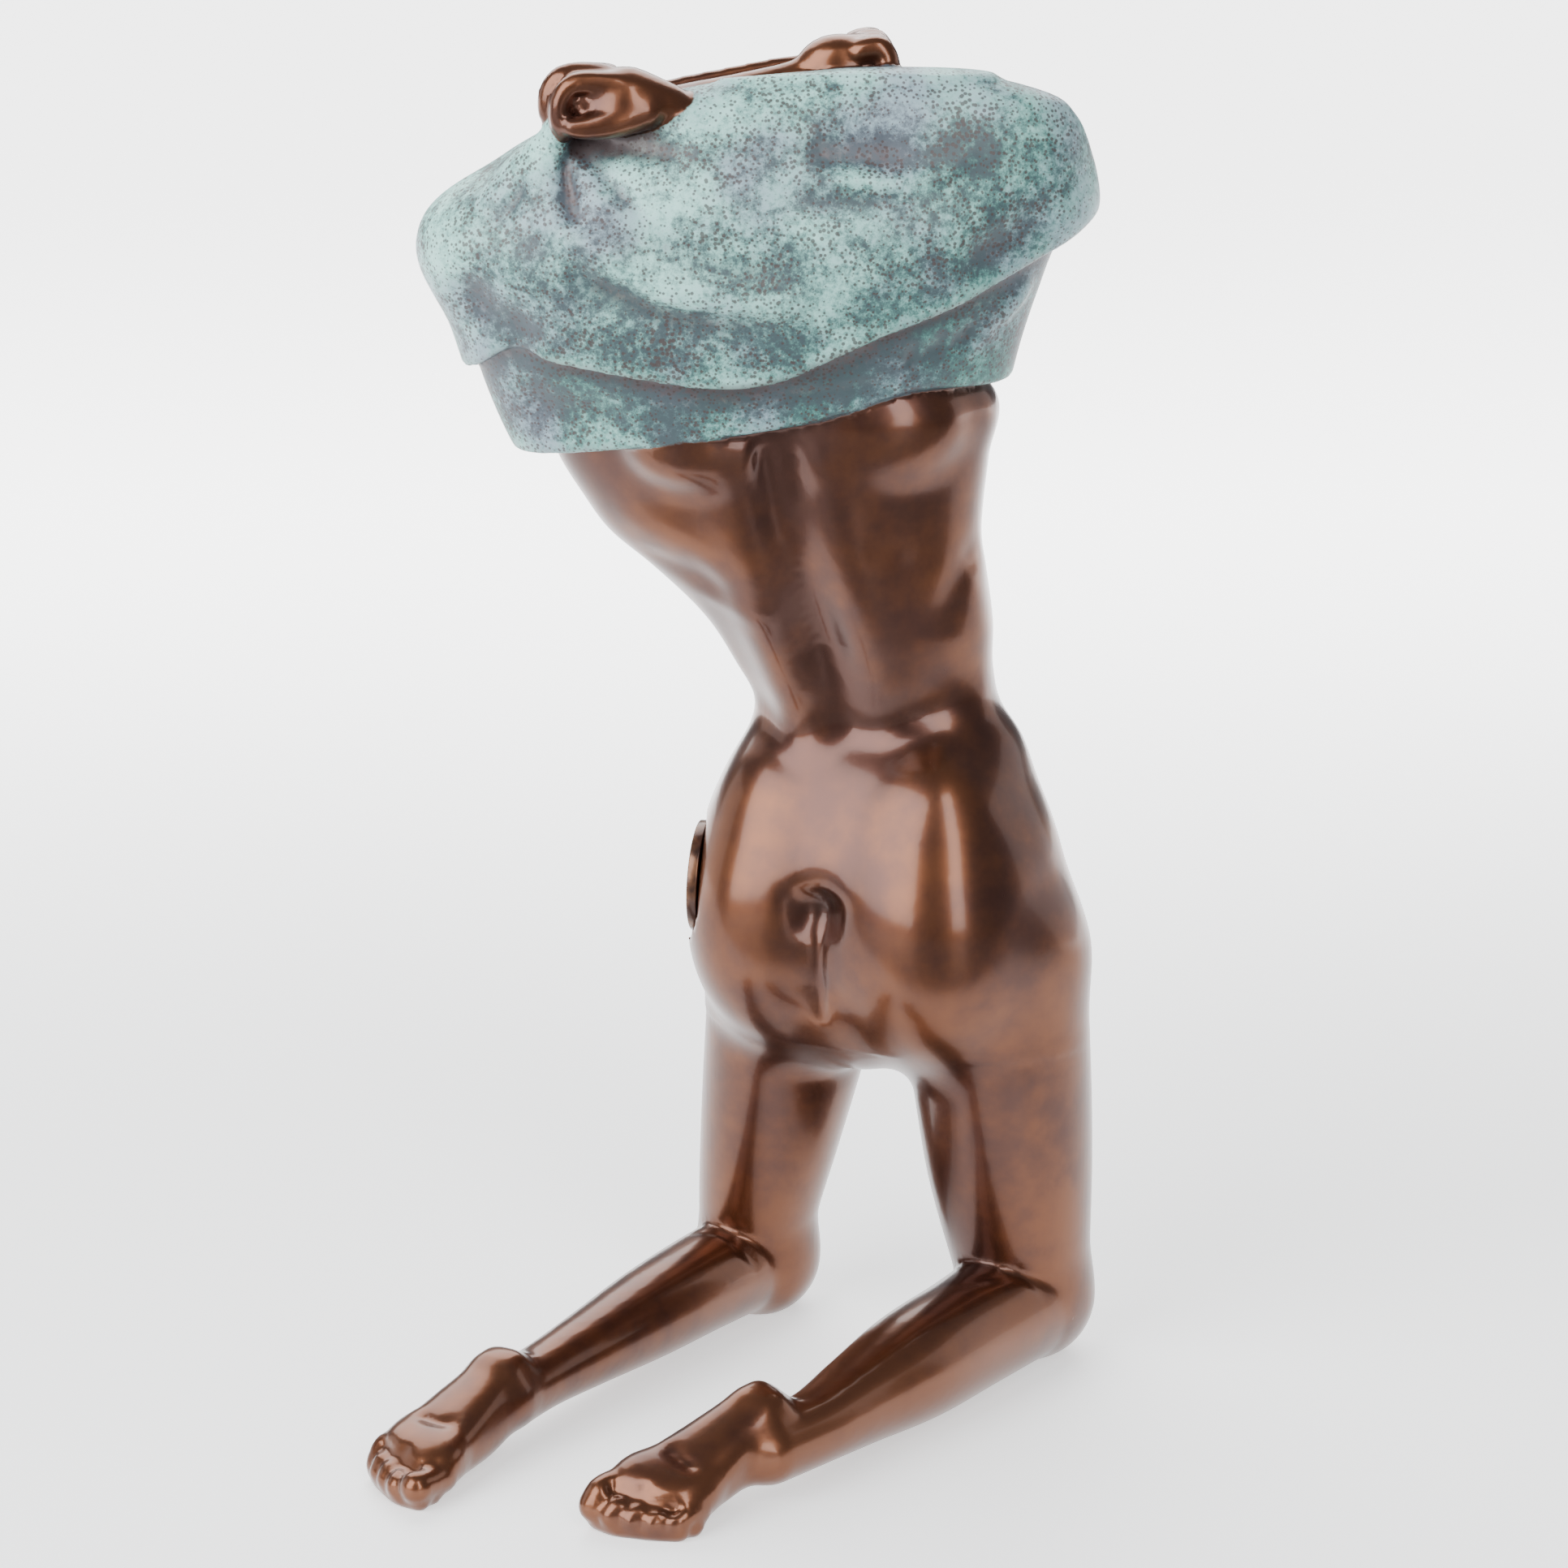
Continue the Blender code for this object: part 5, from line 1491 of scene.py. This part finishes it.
bpy.ops.object.select_all(action="DESELECT")
bpy.ops.mesh.primitive_plane_add(size=FLOOR_SIZE, location=(0, 0, 0))
floor = bpy.context.object
floor.name = "floor"
floor_finish, tree, shader = finish("pale_floor")
place = Shade(tree).node("TexCoord", {}, {}, 3)
spot = place.node("SeparateXYZ", {}, {"Vector": place}, 1)
pale = spot.step(*PALE_FROM)
glow = pale * GLOW_NEAR + spot.step(*GLOW_FROM) * GLOW_FAR + GLOW_LEAST
feed(tree, shader, {
    "Base Color": pale.colours(FLOOR_DARK, FLOOR_PALE),
    "Roughness": 0.45,
    "Emission Color": glow.colours(BLACK, WHITE),
    "Emission Strength": FLOOR_GLOW,
})
floor.data.materials.append(floor_finish)
print("floor:", FLOOR_SIZE, "m square")

# %% [markdown]
# ## Soft light
#
# Polished bronze shows its studio. The photographer used large soft boxes: their pale shapes lie on
# the hips and along the left flank. We use area lights, which are the same thing, and a pale world
# so that no part of the metal mirrors blackness.

# %% Lights and world
FOCUS = Vector((0.0, 0.0, 0.16))
SOFT_BOXES = [
    # name, place, width, height, watts
    ("left_box", (-1.2, 0.35, 0.30), 0.8, 0.9, 3.0),
    ("right_box", (1.2, 0.40, 0.35), 0.8, 0.8, 2.5),
    ("high_left_box", (-0.93, -0.85, 0.78), 1.15, 1.45, 40.0),
    ("high_right_box", (0.44, -1.10, 0.78), 0.36, 1.45, 13.0),
    ("back_box", (-0.10, 1.00, 1.15), 2.0, 1.2, 36.0),
]
ROOM_COLOUR = tint(0.93, 0.95, 1.0)
ROOM_STRENGTH = 0.27


def soft_box(name, place, width, height, power):
    """An area light that faces the figure."""
    bpy.ops.object.light_add(type="AREA", location=place)
    lamp = bpy.context.object
    lamp.name = name
    lamp.data.shape = "RECTANGLE"
    lamp.data.size = width
    lamp.data.size_y = height
    lamp.data.energy = power
    lamp.rotation_mode = "QUATERNION"
    lamp.rotation_quaternion = (FOCUS - Vector(place)).to_track_quat("-Z", "Y")


for box in SOFT_BOXES:
    soft_box(*box)
world = bpy.data.worlds.new("studio")
bpy.context.scene.world = world
world.use_nodes = True
room = world.node_tree.nodes["Background"]
room.inputs["Color"].default_value = ROOM_COLOUR
room.inputs["Strength"].default_value = ROOM_STRENGTH
print("soft boxes:", len(SOFT_BOXES), "in a pale room")

# %% [markdown]
# ## The camera
#
# The picture was taken from behind and a little above, from about a metre away with a long lens.
# The lens, the height and the tilt were worked out from the figure's outline and from how much of
# each knee and foot shows.

# %% Camera
CAMERA_PLACE = np.array([0.0, -304.3, 131.5])
CAMERA_TILT = 75.0
FOCAL_PIXELS = 5711.0
IMAGE_SIDE = 1932.0
SENSOR_WIDTH = 36.0

bpy.ops.object.camera_add(location=CAMERA_PLACE * UNIT + shift * (1, 1, 0))
camera = bpy.context.object
camera.name = "camera"
camera.rotation_euler = (np.radians(CAMERA_TILT), 0, 0)
camera.data.sensor_width = SENSOR_WIDTH
camera.data.lens = SENSOR_WIDTH * FOCAL_PIXELS / IMAGE_SIDE
bpy.context.scene.camera = camera
print("lens:", round(camera.data.lens, 1), "mm")

# %% [markdown]
# ## Tie the pieces to the model
#
# The fine figure and the fine seal stand for the plain CAD solids, which are hidden but kept for
# the physics. Both ride on the only body.

# %% Hand the pieces over
for piece, node, finish_slot in (
    (figure, "kneeling_figure", "figure_bronze"),
    (seal, "foundry_seal", "seal_bronze"),
):
    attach(piece, "root")
    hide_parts(node)
